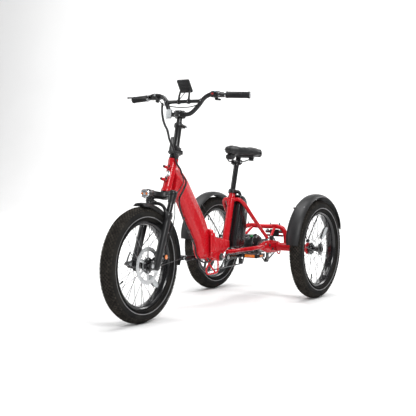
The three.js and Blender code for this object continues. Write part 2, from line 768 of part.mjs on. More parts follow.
// Saddle: sections across it, from the nose back, each [y, half width, top, bottom].
function saddle() {
  const sections = [
    [182, 10, 838, 822], [190, 19, 848, 814], [222, 24, 855, 808], [260, 34, 851, 806], [298, 54, 846, 808],
    [338, 80, 848, 806], [378, 95, 854, 798], [410, 92, 852, 794], [427, 70, 842, 802]];
  const around = 14;
  const rings = sections.map(([y, half, top, bottom]) => Array.from({ length: around }, (_, i) => {
    const angle = (2 * Math.PI * i) / around;
    const z = Math.sin(angle);
    const height = z > 0 ? (top - bottom) * 0.45 * z ** 0.8 : (top - bottom) * 0.55 * z;
    return new THREE.Vector3(half * Math.cos(angle), y, bottom + (top - bottom) * 0.55 + height);
  }));
  return skin(rings, false);
}

piece('saddle', saddle(), vinyl);

piece('battery_rail', box(-15, 15, 18.8, 23.4, 14, 276), blackPlastic, seat);

function battery() {
  const pack = slab([
    [23.8, 4], [80, 2], [128, 22], [138, 50], [122, 236], [96, 286], [66, 302], [23.8, 302]], -45, 45, 9);
  const handle = tube([[0, 34, 290], [0, 36, 318], [0, 58, 328], [0, 86, 314], [0, 96, 276]], 6, 10, 6);
  return join(pack, handle);
}

piece('battery', battery(), blackPlastic, seat);

// ---------------------------------------------------------------- drivetrain

function motor() {
  return at(turned([
    [0, -70], [16, -70], [16, -50], [motorRadius - 8, -44], [motorRadius, -36],
    [motorRadius, 36], [motorRadius - 8, 44], [18, 50], [18, 55], [motorSprocketRadius, 55],
    [motorSprocketRadius, 61], [14, 61], [14, 72], [0, 72]], 20), 0, ...motorCentre);
}

piece('motor', motor(), blackPaint);
piece('cassette', at(turned([
  [17, -64], [28, -64], [28, -61], [cassetteRadius, -61], [cassetteRadius, -55], [17, -55]], 20),
0, ...motorCentre), darkSteel);

piece('axle_sprocket', at(turned([
  [0, -88], [11, -88], [11, -36], [40, -30], [40, 30], [24, 36], [24, 55], [axleSprocketRadius, 55],
  [axleSprocketRadius, 61], [11, 61], [11, 88], [0, 88]], 20), 0, rearAxleY, wheelRadius), darkSteel);

const jockey = [[446, 196], 12];
const tensioner = [[520, 206], 11];

function chainLoop(x, wheels) {
  const clearance = 1;
  const thickness = 6.5;
  return slab(beltOutline(wheels, clearance + thickness), x - 3.5, x + 3.5, 0,
    [beltOutline(wheels, clearance).reverse()]);
}

piece('crank_chain', chainLoop(chainX, [
  [crankCentre, chainringRadius], [motorCentre, cassetteRadius], jockey]), darkSteel);
piece('axle_chain', chainLoop(axleChainX, [
  [motorCentre, motorSprocketRadius], [[rearAxleY, wheelRadius], axleSprocketRadius], tensioner]), darkSteel);

// An idler wheel on a cage plate that is bolted to the inside of a dropout plate.
function idler([centre, radius], top) {
  const x = Math.abs(chainX);
  const [y, z] = centre;
  const cage = slab([[y - 11, z - 14], [y + 11, z - 14], [y + 14, z + 20], [y + 10, top], [y - 10, top],
    [y - 14, z + 20]], x + 8, x + 14);
  return join(
    rod([x - 3, ...centre], [x + 10, ...centre], radius - 1, 12), cage,
    rod([x + 11, y, top - 6], [plateOuterX - 9 - gap, y, top - 6], 5, 8));
}

piece('derailleur', mirrored(idler(jockey, 266)), darkSteel);
piece('chain_tensioner', idler(tensioner, 264), darkSteel);

// Right crank with axle, chainring and guard; left crank opposite it. Each carries a pedal axle.
const armInnerX = 68;
const armThickness = 12;
const pedalInnerX = 90;
const pedalOuterX = 182;

function crankArm(x0, x1, sign) {
  const [y, z] = crankCentre;
  const end = y + sign * crankLength;
  const outline = [
    ...arc([y, z], 19, 5, sign > 0 ? 100 : -80, sign > 0 ? 260 : 80),
    ...arc([end, z], 12, 5, sign > 0 ? -80 : 100, sign > 0 ? 80 : 260)];
  return slab(outline, x0, x1, 2);
}

function rightCrank() {
  const [y, z] = crankCentre;
  const windows = [0, 1, 2, 3, 4].map((i) => [
    ...arc([y, z], 66, 3, 72 * i - 26, 72 * i + 26),
    ...arc([y, z], 30, 1, 72 * i - 16, 72 * i + 16).reverse()]);
  const ring = slab(arc([y, z], chainringRadius, 32), chainX - 2, chainX + 2, 0, windows);
  const guard = slab(arc([y, z], 92, 32), chainX - 7, chainX - 5, 0, [arc([y, z], 68, 20).reverse()]);
  const joiners = [0, 1, 2, 3, 4].map((i) => {
    const p = arc([y, z], 72, 5)[i];
    return rod([chainX - 6, ...p], [chainX - 1, ...p], 5, 6);
  });
  return join(
    rod([-armInnerX - 8, y, z], [armInnerX - 1, y, z], 8.8, 12),
    rod([-armInnerX - 8, y, z], [chainX + 2, y, z], 18, 12),
    crankArm(-armInnerX - armThickness, -armInnerX, -1), ring, guard, ...joiners,
    rod([-armInnerX - 4, y - crankLength, z], [-pedalOuterX, y - crankLength, z], 5.5, 10));
}

piece('right_crank', rightCrank(), blackPaint);
piece('left_crank', join(
  crankArm(armInnerX, armInnerX + armThickness, 1),
  rod([armInnerX + 4, crankCentre[0] + crankLength, crankCentre[1]],
    [pedalOuterX, crankCentre[0] + crankLength, crankCentre[1]], 5.5, 10)), blackPaint);

function pedal(sign) {
  const y = crankCentre[0] + sign * crankLength;
  const z = crankCentre[1];
  const frame = slab([
    [y - 46, z - 6], [y - 40, z - 12], [y + 40, z - 12], [y + 46, z - 6], [y + 46, z + 6], [y + 40, z + 12],
    [y - 40, z + 12], [y - 46, z + 6]], pedalInnerX, pedalOuterX + 2, 3);
  return cut(sign < 0 ? mirrored(frame) : frame, rod([sign * 70, y, z], [sign * 200, y, z], 6.4, 12));
}

piece('left_pedal', pedal(1), blackPlastic);
piece('right_pedal', pedal(-1), blackPlastic);

export default tricycle;
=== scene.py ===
"""Looks for an adult electric tricycle: smooth, detailed pieces and procedural materials over its frame.

Lengths are in millimetres until they reach a mesh. +X is the rider's left, -Y is forward, +Z is up.
"""

from math import copysign, cos, degrees, exp, pi, radians, sin, sqrt

import bmesh
import bpy
from mathutils import Matrix, Vector


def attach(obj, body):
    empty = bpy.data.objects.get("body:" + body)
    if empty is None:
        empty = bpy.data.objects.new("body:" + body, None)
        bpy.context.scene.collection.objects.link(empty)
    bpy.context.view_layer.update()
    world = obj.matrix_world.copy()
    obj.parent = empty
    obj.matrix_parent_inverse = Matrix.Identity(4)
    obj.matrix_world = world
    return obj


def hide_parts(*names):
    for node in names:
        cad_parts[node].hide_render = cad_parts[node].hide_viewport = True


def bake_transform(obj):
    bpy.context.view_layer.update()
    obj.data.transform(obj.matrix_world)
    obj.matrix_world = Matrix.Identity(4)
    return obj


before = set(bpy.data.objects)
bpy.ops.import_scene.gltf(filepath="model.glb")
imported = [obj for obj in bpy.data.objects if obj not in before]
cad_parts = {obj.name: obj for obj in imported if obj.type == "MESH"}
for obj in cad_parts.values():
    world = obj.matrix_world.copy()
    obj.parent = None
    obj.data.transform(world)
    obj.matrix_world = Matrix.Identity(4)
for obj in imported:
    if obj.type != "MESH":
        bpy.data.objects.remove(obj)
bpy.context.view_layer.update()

MM = 0.001
TAU = 2 * pi
BOTH = (-1, 1)
SIDES = (("left", 1), ("right", -1))

WHEEL_RADIUS = 276
AXLE_Y = 588
REAR_AXLE = (AXLE_Y, WHEEL_RADIUS)
REAR_WHEEL_X = 342.5
HUBS = {"front": (0, -AXLE_Y, WHEEL_RADIUS), "left": (REAR_WHEEL_X, *REAR_AXLE),
        "right": (-REAR_WHEEL_X, *REAR_AXLE)}
CRANK = (76, 257)
MOTOR = (452, 285)
PEDAL_REACH = 170
FOLD_Y = -12


# ---------------------------------------------------------------- places

class Local:
    """A frame that shares X with the object and leans back; local -Y is ahead and +Z is up its axis."""

    def __init__(self, foot, tilt):
        self.foot = Vector(foot)
        self.sin, self.cos = sin(radians(tilt)), cos(radians(tilt))
        self.up, self.ahead = self(0, 0, 1) - self.foot, self(0, -1, 0) - self.foot

    def __call__(self, x, y, z):
        return self.foot + Vector((x, y * self.cos + z * self.sin, z * self.cos - y * self.sin))

    def all(self, points):
        return [self(*p) for p in points]


steering = Local((0, -515, WHEEL_RADIUS), 21.6)
stem = Local((0, -302, 818), 13)
seat = Local((0, 164, 300), 15.3)


def turns(count, lead=0.0):
    """Evenly spaced angles of one turn, the first one lead steps on."""
    return [TAU * (i + lead) / count for i in range(count)]


def around(x, centre, radius, angle):
    """The point at an angle round the line along X through centre, which is (y, z)."""
    return Vector((x, centre[0] + radius * cos(angle), centre[1] + radius * sin(angle)))


def mirrored(sign):
    """A place function that flips X for the right-hand side."""
    return lambda x, y, z: Vector((sign * x, y, z))


# ---------------------------------------------------------------- materials

class Shader:
    """A node-based material around one Principled shader, driven by object coordinates."""

    def __init__(self, name, colour, roughness, metallic=0.0, coat=None, specular=None, ior=None):
        self.material = bpy.data.materials.new(name)
        self.material.use_nodes = True
        self.tree = self.material.node_tree
        self.principled = self.tree.nodes["Principled BSDF"]
        self.set(self.principled, Base_Color=(*colour, 1), Roughness=roughness, Metallic=metallic)
        if coat:
            self.set(self.principled, Coat_Weight=coat[0], Coat_Roughness=coat[1])
        if specular:
            self.set(self.principled, Specular_IOR_Level=specular)
        if ior:
            self.set(self.principled, IOR=ior)
        self.place = self.tree.nodes.new("ShaderNodeTexCoord").outputs["Object"]

    def set(self, node, **values):
        for name, value in values.items():
            node.inputs[name.replace("_", " ")].default_value = value

    def node(self, kind, into, source, **values):
        """A new node fed by source, with its other inputs set."""
        made = self.tree.nodes.new("ShaderNode" + kind)
        self.set(made, **values)
        self.tree.links.new(source, made.inputs[into])
        return made

    def feed(self, output, name):
        self.tree.links.new(output, self.principled.inputs[name])
        return self

    def noise(self, scale, detail=4.0, stretch=(1, 1, 1)):
        mapping = self.node("Mapping", "Vector", self.place, Scale=stretch)
        return self.node("TexNoise", "Vector", mapping.outputs[0], Scale=scale, Detail=detail).outputs["Fac"]

    def cells(self, scale, feature="F1"):
        cells = self.node("TexVoronoi", "Vector", self.place, Scale=scale)
        cells.feature = feature
        return cells.outputs["Distance"]

    def vary_colour(self, factor, low, high, start=0.35, end=0.65):
        ramp = self.node("ValToRGB", 0, factor)
        for stop, position, colour in zip(ramp.color_ramp.elements, (start, end), (low, high)):
            stop.position, stop.color = position, (*colour, 1)
        return self.feed(ramp.outputs["Color"], "Base Color")

    def vary_roughness(self, factor, low, high):
        return self.feed(self.node("MapRange", "Value", factor, To_Min=low, To_Max=high).outputs[0],
                         "Roughness")

    def bump(self, factor, strength, distance):
        bump = self.node("Bump", "Height", factor, Strength=strength, Distance=distance)
        previous = self.principled.inputs["Normal"].links
        if previous:
            self.tree.links.new(previous[0].from_socket, bump.inputs["Normal"])
        return self.feed(bump.outputs[0], "Normal")


def grey(level, blue=0.001):
    """A neutral colour with a little more blue."""
    return level, level, level + blue


def look(name, colour, roughness, metallic=0.0, tint=None, sheen=None, relief=(), **coats):
    """A material whose colour, roughness and relief follow patterns. Each of them starts with its pattern:
    (scale, detail, stretch) for noise, or (scale, feature) for cells."""
    s = Shader(name, colour, roughness, metallic, **coats)

    def pattern(scale, *settings):
        return s.cells(scale, *settings) if settings and isinstance(settings[0], str) else s.noise(scale,
                *settings)
    if tint:
        s.vary_colour(pattern(*tint[0]), *tint[1:])
    if sheen:
        s.vary_roughness(pattern(*sheen[0]), *sheen[1:])
    for kind, strength, distance in relief:
        s.bump(pattern(*kind), strength, distance)
    return s.material


CELLS, SOFT_CELLS = "F1", "SMOOTH_F1"


def lens(name, colour, roughness, scale, low, high, start=0.1, end=0.6, relief=0.6, metallic=0.0,
         coat=(1.0, 0.03)):
    """A moulded reflector or lamp lens, with small raised cells that also shift its colour."""
    return look(name, colour, roughness, metallic, ((scale, CELLS), low, high, start, end),
                relief=[((scale, CELLS), relief, 0.0008)], coat=coat)


def button(name, colour):
    return look(name, colour, 0.3, sheen=((200, 4), 0.26, 0.38), relief=[((900, 3), 0.08, 0.0002)],
                coat=(0.4, 0.1))


RED = look("red_paint", (0.50, 0.006, 0.012), 0.26, coat=(0.3, 0.05), specular=0.16,
           tint=((2.5, 2), (0.47, 0.005, 0.011), (0.53, 0.007, 0.014), 0.3, 0.7),
           sheen=((60, 6), 0.24, 0.30), relief=[((420, 2), 0.015, 0.0002)])
BLACK = look("black_paint", grey(0.008), 0.32, coat=(0.3, 0.16), specular=0.3,
             tint=((14,), grey(0.006), grey(0.011)), sheen=((45, 6), 0.26, 0.42),
             relief=[((900, 2), 0.08, 0.0003)])
PLASTIC = look("black_plastic", grey(0.010), 0.46, specular=0.32, tint=((20,), grey(0.008), grey(0.014)),
               sheen=((35, 6), 0.38, 0.54), relief=[((1500, 3), 0.22, 0.0003)])
GLOSS = look("gloss_black", grey(0.006), 0.18, coat=(0.4, 0.06), specular=0.3,
             tint=((8,), grey(0.005), grey(0.009)), sheen=((30, 6), 0.15, 0.25),
             relief=[((700, 2), 0.03, 0.0003)])
TYRE = look("tyre_rubber", grey(0.012, 0), 0.74, specular=0.2, ior=1.3,
            tint=((12, 8), grey(0.009, 0), (0.024, 0.022, 0.019), 0.4, 0.75),
            sheen=((70, 6), 0.66, 0.88), relief=[((650, 5), 0.35, 0.0006)])
TREAD = look("tread_rubber", (0.028, 0.025, 0.022), 0.86, specular=0.2, ior=1.2,
             tint=((40, 8), (0.018, 0.016, 0.014), (0.046, 0.041, 0.035), 0.38, 0.7),
             sheen=((120, 6), 0.78, 0.95), relief=[((700, CELLS), 0.4, 0.0006)])
RUBBER = look("soft_rubber", grey(0.010), 0.62, specular=0.28, tint=((30,), grey(0.008), grey(0.017)),
              relief=[((900, CELLS), 0.3, 0.0004)])
VINYL = look("saddle_vinyl", grey(0.009), 0.42, coat=(0.12, 0.3), specular=0.32,
             tint=((16, 6), grey(0.007), grey(0.013)), sheen=((40, 6), 0.34, 0.52),
             relief=[((420, SOFT_CELLS), 0.35, 0.0006), ((180, 6), 0.12, 0.0006)])
SILVER_STRIPE = look("stripe_silver", grey(0.17, 0.005), 0.5, 0.1,
                     ((90, 6), grey(0.13, 0.005), grey(0.21, 0.005)), relief=[((1600, CELLS), 0.3, 0.0002)])
STEEL = look("brushed_steel", (0.56, 0.57, 0.58), 0.28, 1.0,
             ((30, 6), (0.48, 0.49, 0.50), (0.62, 0.63, 0.64)), ((400, 4, (1, 1, 9)), 0.2, 0.4),
             [((900, 3, (1, 1, 12)), 0.12, 0.0002)])
CHROME = look("chrome", (0.78, 0.79, 0.80), 0.08, 1.0, sheen=((40, 5), 0.05, 0.14),
              relief=[((500, 2), 0.02, 0.0002)])
DARK = look("dark_steel", grey(0.07, 0.002), 0.36, 0.9, ((40, 6), grey(0.045), grey(0.11, 0.002)),
            ((90, 6), 0.28, 0.5), [((700, 4), 0.15, 0.0002)])
SPOKE = look("spoke_steel", grey(0.20, 0.005), 0.26, 1.0, sheen=((300, 3), 0.16, 0.3),
             relief=[((900, 2), 0.05, 0.0001)])
AMBER = lens("amber_reflector", (0.85, 0.22, 0.02), 0.12, 330, (0.95, 0.33, 0.04), (0.60, 0.12, 0.01))
CLEAR = lens("clear_reflector", (0.60, 0.61, 0.62), 0.14, 260, (0.66, 0.67, 0.68), (0.36, 0.38, 0.39),
             coat=(0.6, 0.05))
TAIL = lens("red_lens", (0.50, 0.01, 0.012), 0.12, 300, (0.62, 0.02, 0.02), (0.25, 0.004, 0.006))
LENS = lens("lamp_glass", (0.34, 0.36, 0.38), 0.06, 220, (0.46, 0.48, 0.50), (0.16, 0.17, 0.18), 0.05, 0.5,
            0.4, 0.3, (0.8, 0.02))
SCREEN = look("screen_glass", (0.006, 0.007, 0.009), 0.05, coat=(1.0, 0.02), sheen=((60, 5), 0.04, 0.09),
              relief=[((30, 2), 0.02, 0.0002)])
RED_BUTTON = button("red_button", (0.55, 0.02, 0.02))
BLUE_BUTTON = button("blue_button", (0.18, 0.42, 0.62))
GREEN_PLUG = button("green_connector", (0.03, 0.30, 0.10))


# ---------------------------------------------------------------- mesh building

class Build:
    """Gathers solids of one piece in millimetres, then makes them one mesh object that rides on a body."""

    def __init__(self):
        self.verts, self.faces, self.shades, self.materials = [], [], [], []

    def shade_of(self, material):
        if material not in self.materials:
            self.materials.append(material)
        return self.materials.index(material)

    def skin(self, rings, material, closed_run=False, materials=None):
        """Quads between rings of equal length, capped at both ends unless the last ring joins the first.
        materials, if given, names one material per ring segment."""
        size, start, last = len(rings[0]), len(self.verts), len(rings)
        self.verts += [Vector(p) for ring in rings for p in ring]
        for i in range(last if closed_run else last - 1):
            here, there = start + i * size, start + (i + 1) % last * size
            for j in range(size):
                k = (j + 1) % size
                self.faces.append([here + j, here + k, there + k, there + j])
                self.shades.append(self.shade_of(materials[j] if materials else material))
        if not closed_run:
            self.faces.append([start + j for j in reversed(range(size))])
            self.faces.append([start + (last - 1) * size + j for j in range(size)])
            self.shades += [self.shade_of(material)] * 2
        return self

    def lathe(self, a, b, profile, material, sides=40):
        """A profile of (distance from a towards b, radius), turned about the line from a to b."""
        a, b = Vector(a), Vector(b)
        along = (b - a).normalized()
        side = along.orthogonal().normalized()
        up = along.cross(side)
        return self.skin([[a + along * t + (side * cos(turn) + up * sin(turn)) * max(r, 0.01)
                           for turn in turns(sides)] for t, r in profile], material)

    def rod(self, a, b, radius, material, sides=24, edge=0.8):
        """A cylinder from a to b with rounded rims."""
        length = (Vector(b) - Vector(a)).length
        edge = min(edge, radius * 0.45, length * 0.45)
        soft = edge * 0.3
        rim = [(0, radius - edge), (soft, radius - soft), (edge, radius)]
        return self.lathe(a, b, rim + [(length - t, r) for t, r in reversed(rim)], material, sides)

    def tube(self, points, radius, material, sides=20, spacing=6.0, radii=None, flat=1.0):
        """A round tube swept along a smooth curve through the points. radii, if given, is one per point."""
        path, widths = smooth_path(points, spacing, radii or [radius] * len(points))
        return self.skin([[p + side * (r * cos(turn)) + up * (flat * r * sin(turn)) for turn in turns(sides)]
                          for p, (side, up), r in zip(path, carried_frames(path), widths)], material)

    def turned_x(self, profile, material, sides=96, centre=(0, 0, 0), materials=None):
        """A closed profile of (radius, x) turned about a line along X."""
        centre = Vector(centre)
        return self.skin([[centre + Vector((x, r * cos(turn), r * sin(turn))) for r, x in profile]
                          for turn in turns(sides)], material, True, materials)

    def block(self, centre, size, material, edge=1.0, place=None):
        """A box with chamfered edges. place, if given, maps a local point to the object's frame."""
        hx, hy, hz = (s / 2 for s in size)
        e = min(edge, hx * 0.6, hy * 0.6, hz * 0.6)
        place, centre = place or mirrored(1), Vector(centre)
        rings = []
        for z, inset in ((-hz, e), (-hz + e, 0), (hz - e, 0), (hz, e)):
            rings.append([place(*(centre + Vector((x, y, z))))
                          for x, y in rounded(box_outline(-hx + inset, -hy + inset, hx - inset, hy - inset),
                                              e, 2)])
        return self.skin(rings, material)

    def bolt(self, at, axis, radius=4.0, height=3.5, material=DARK):
        """A socket-head bolt on a washer."""
        at, axis = Vector(at), Vector(axis).normalized()
        return self.lathe(at - axis * 1.2, at + axis * height, [
            (0, radius * 1.45), (1.0, radius * 1.45), (1.2, radius * 1.35), (1.21, radius), (height, radius),
            (height + 1.0, radius * 0.86), (height + 1.2, radius * 0.82), (height + 1.2, radius * 0.5),
            (height - 0.6, radius * 0.46)], material, 18)

    def done(self, name, body, replaces=(), slot=None, smooth_angle=35):
        mesh = bpy.data.meshes.new(name)
        mesh.from_pydata([v * MM for v in self.verts], [], self.faces)
        for material in self.materials:
            mesh.materials.append(material)
        mesh.polygons.foreach_set("material_index", self.shades)
        face_outwards(mesh)
        return place_piece(mesh, name, body, replaces, smooth_angle)


def face_outwards(mesh, weld=False):
    bm = bmesh.new()
    bm.from_mesh(mesh)
    if weld:
        bmesh.ops.remove_doubles(bm, verts=bm.verts, dist=1e-6)
    bmesh.ops.recalc_face_normals(bm, faces=bm.faces)
    bm.to_mesh(mesh)
    bm.free()


def place_piece(mesh, name, body, replaces=(), smooth_angle=35):
    """Makes a mesh an object that rides on a body, in place of the nodes it replaces."""
    piece = bpy.data.objects.new(name, mesh)
    bpy.context.scene.collection.objects.link(piece)
    mesh.shade_smooth()
    mesh.set_sharp_from_angle(angle=radians(smooth_angle))
    if body:
        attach(piece, body)
    if replaces:
        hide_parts(*([replaces] if isinstance(replaces, str) else replaces))
    return piece


def smooth_path(points, spacing, widths):
    """Points along a centripetal Catmull-Rom curve through the points given, with widths eased between."""
    points = [Vector(p) for p in points]
    ends = [points[0] * 2 - points[1], *points, points[-1] * 2 - points[-2]]
    path, out = [], []
    for i in range(len(points) - 1):
        p0, p1, p2, p3 = ends[i:i + 4]
        t1 = max((p1 - p0).length, 1e-6) ** 0.5
        t2 = t1 + max((p2 - p1).length, 1e-6) ** 0.5
        t3 = t2 + max((p3 - p2).length, 1e-6) ** 0.5
        count = max(1, round((p2 - p1).length / spacing))
        for step in range(count):
            share = step / count
            t = t1 + (t2 - t1) * share
            a1 = p0 * ((t1 - t) / t1) + p1 * (t / t1)
            a2 = p1 * ((t2 - t) / (t2 - t1)) + p2 * ((t - t1) / (t2 - t1))
            a3 = p2 * ((t3 - t) / (t3 - t2)) + p3 * ((t - t2) / (t3 - t2))
            b1 = a1 * ((t2 - t) / t2) + a2 * (t / t2)
            b2 = a2 * ((t3 - t) / (t3 - t1)) + a3 * ((t - t1) / (t3 - t1))
            path.append(b1 * ((t2 - t) / (t2 - t1)) + b2 * ((t - t1) / (t2 - t1)))
            out.append(widths[i] + (widths[i + 1] - widths[i]) * share)
    return path + [points[-1]], out + [widths[-1]]


def smooth_line(points, spacing):
    return smooth_path(points, spacing, [1] * len(points))[0]


def carried_frames(path):
    """Two directions across a path at each of its points, carried along it without twist."""
    last = len(path) - 1
    tangents = [(path[min(i + 1, last)] - path[max(i - 1, 0)]).normalized() for i in range(last + 1)]
    side = tangents[0].orthogonal().normalized()
    frames = []
    for tangent in tangents:
        side = (side - tangent * side.dot(tangent)).normalized()
        frames.append((side, tangent.cross(side)))
    return frames


def rounded(outline, radius, steps=3):
    """A 2D outline with each corner replaced by a short arc."""
    out = []
    count = len(outline)
    for i, corner in enumerate(outline):
        p = Vector(corner)
        a, b = Vector(outline[i - 1]) - p, Vector(outline[(i + 1) % count]) - p
        reach = min(radius, a.length * 0.45, b.length * 0.45)
        start, end = p + a.normalized() * reach, p + b.normalized() * reach
        for step in range(steps + 1):
            t = step / steps
            out.append(tuple(start * (1 - t) ** 2 + p * (2 * t * (1 - t)) + end * t ** 2))
    return out


def box_outline(x0, y0, x1, y1):
    return [(x0, y0), (x1, y0), (x1, y1), (x0, y1)]


def arc(centre, radius, angles):
    return [(centre[0] + radius * cos(t), centre[1] + radius * sin(t)) for t in angles]


def circle2(centre, radius, sides=24):
    return arc(centre, radius, turns(sides))


def spread(middle, half, steps):
    """Angles from half a fan before middle to half a fan after it, in radians; half is in degrees."""
    return [middle + radians(-half + 2 * half * k / steps) for k in range(steps + 1)]


def plate(name, outlines, thickness, across, body, material, edge=0.4, replaces=(), place=None,
          rings=1):
    """A flat plate in the Y-Z plane with holes: the first outline is its edge and the rest are holes.
    across is the X of its middle. place, if given, maps (x, y, z) to the object's frame."""
    curve = bpy.data.curves.new(name, "CURVE")
    curve.dimensions = "2D"
    curve.fill_mode = "BOTH"
    curve.extrude = thickness / 2 - edge
    curve.bevel_depth = edge
    curve.bevel_resolution = rings
    curve.offset = -edge
    for outline in outlines:
        spline = curve.splines.new("POLY")
        spline.points.add(len(outline) - 1)
        for point, (y, z) in zip(spline.points, outline):
            point.co = (y, z, 0, 1)
        spline.use_cyclic_u = True
    holder = bpy.data.objects.new(name + "_outline", curve)
    bpy.context.scene.collection.objects.link(holder)
    mesh = bpy.data.meshes.new_from_object(holder.evaluated_get(bpy.context.evaluated_depsgraph_get()))
    bpy.data.objects.remove(holder)
    bpy.data.curves.remove(curve)
    place = place or mirrored(1)
    for vertex in mesh.vertices:
        y, z, x = vertex.co
        vertex.co = place(across + x, y, z) * MM
    face_outwards(mesh, weld=True)
    mesh.materials.clear()
    mesh.materials.append(material)
    mesh.name = name
    return place_piece(mesh, name, body, replaces)


# ---------------------------------------------------------------- camera, light and floor

FLOOR_ROWS, FLOOR_WIDTH, FLOOR_START, FLOOR_DEPTH, COVE = 24, 24.0, -9, 14.0, 2.2


def studio():
    """The camera, five soft lights and a pale floor that curves up behind. Lengths here are in metres."""
    scene = bpy.context.scene
    camera = bpy.data.objects.new("camera", bpy.data.cameras.new("camera"))
    scene.collection.objects.link(camera)
    camera.data.sensor_width = 36
    camera.data.lens = 75.73
    camera.location = (2.4926, -3.8653, 0.7664)
    camera.rotation_euler = (radians(90 - 3.06), radians(-0.19), radians(32.84))
    scene.camera = camera
    scene.view_settings.view_transform = "Standard"

    tricycle = (0, 0, 0.5)
    for name, location, size, power, target in (("key", (3.4, -2.4, 3.4), (1.8, 1.6), 150, tricycle),
                                                ("fill", (-3.6, -2.4, 2.2), (1.6, 2.0), 42, tricycle),
                                                ("top", (0.0, 0.2, 4.4), (2.6, 2.6), 150, tricycle),
                                                ("rim", (1.8, 4.0, 2.8), (1.8, 1.6), 60, tricycle),
                                                ("backdrop", (-3.4, 1.2, 4.6), (3.0, 1.4), 420,
                                                 (-4.6, 6.4, 1.4))):
        light = bpy.data.lights.new(name, "AREA")
        light.shape = "RECTANGLE"
        light.size, light.size_y = size
        light.energy = power
        lamp = bpy.data.objects.new(name, light)
        scene.collection.objects.link(lamp)
        lamp.location = location
        lamp.rotation_mode = "QUATERNION"
        lamp.rotation_quaternion = (Vector(target) - Vector(location)).to_track_quat("-Z", "Y")

    scene.world = bpy.data.worlds.new("studio")
    scene.world.use_nodes = True
    background = scene.world.node_tree.nodes["Background"]
    background.inputs["Color"].default_value = (1.0, 1.0, 1.0, 1)
    background.inputs["Strength"].default_value = 0.36

    mesh = bpy.data.meshes.new("floor")
    verts, faces = [], []
    for i in range(FLOOR_ROWS + 1):
        share = i / FLOOR_ROWS
        bend = max(0.0, share - 0.625) / 0.375
        y = FLOOR_START + FLOOR_DEPTH * min(share * 1.6, 1.0) + COVE * sin(bend * pi / 2)
        z = COVE * (1 - cos(bend * pi / 2)) + 3 * bend ** 3
        verts += [(side * FLOOR_WIDTH / 2, y, z - 0.0005) for side in BOTH]
        if i:
            faces.append((2 * i - 2, 2 * i - 1, 2 * i + 1, 2 * i))
    mesh.from_pydata(verts, [], faces)
    mesh.materials.append(look("floor_paper", grey(0.86, 0), 0.75,
                               tint=((0.8,), grey(0.85, 0), grey(0.87, 0))))
    mesh.shade_smooth()
    floor = bpy.data.objects.new("floor", mesh)
    scene.collection.objects.link(floor)


studio()


# ---------------------------------------------------------------- wheels

TYRE_HALF = 38
CASING_ARC = 278
TREAD_BLOCKS = 88
SPOKES = 36


def tyre(name, body, hub, node):
    """A fat road tyre with a round casing, a reflective line on each wall, and blocks of tread."""
    b = Build()
    centre, steps = WHEEL_RADIUS - TYRE_HALF, 44
    profile, materials = [], []
    for i in range(steps + 1):
        angle = radians(CASING_ARC * (i / steps - 0.5))
        reach = 35.4 if abs(angle) < radians(70) else 36.6
        profile.append((centre + reach * cos(angle), reach * 1.02 * sin(angle)))
        stripe = 101 < abs(degrees(angle) + CASING_ARC / steps / 2) < 107
        materials.append(SILVER_STRIPE if stripe else TYRE)
    profile += [(206, 21), (204, 0), (206, -21)]
    b.turned_x(profile, TYRE, 132, materials=materials + [TYRE] * 3)
    for side in BOTH:
        for radius, crest in ((216, 37.6), (262, 31)):
            b.turned_x([(radius, side * 30), (radius + 1.5, side * crest), (radius + 3, side * 30)], TYRE,
                       132)
    for tilt, width, half_long, lead in ((0, 8.5, 5.0, 0.0), (14, 8.0, 4.6, 0.5), (27, 7.6, 4.4, 0.0),
                                         (40, 8.6, 4.6, 0.5), (54, 9.5, 5.6, 0.0)):
        height = 3.2 if tilt < 45 else 2.6
        for side in BOTH[::-1] if tilt else (1,):
            a = radians(side * tilt)
            across, out = Vector((cos(a), 0, -sin(a))), Vector((sin(a), 0, cos(a)))
            foot = Vector((0, 0, centre)) + out * 34.6
            for angle in turns(TREAD_BLOCKS, lead):
                turn = Matrix.Rotation(angle, 3, "X")
                block = []
                for level, inset in ((0, 0), (height - 0.7, 0.2), (height, 1.0)):
                    w, h, skew = width / 2 + 0.9 - inset, half_long + 0.9 - inset, 1.3 * side
                    ring = [(-w, -h + skew), (0, -h), (w, -h - skew), (w, h - skew), (0, h), (-w, h + skew)]
                    block.append([turn @ (foot + across * x + out * level + Vector((0, y, 0)))
                                  for x, y in ring])
                b.skin(block, TREAD)
    piece = b.done(name, body, node, "tyre")
    piece.data.transform(Matrix.Translation(Vector(hub) * MM))


def mirror_profile(half):
    """The other half of a (radius, x) profile."""
    return [(r, -x) for r, x in reversed(half)]


def rim(name, body, hub, node):
    bed = [(208.5, -25), (210, -24.5), (210, -23), (205, -21), (203, -10)]
    back = [(203, 26.5), (197, 23), (193, 15)]
    b = Build()
    b.turned_x(bed + mirror_profile(bed) + back + [(192, 0)] + mirror_profile(back), GLOSS, 120, centre=hub)
    return b.done(name, body, node, "wheel_metal")


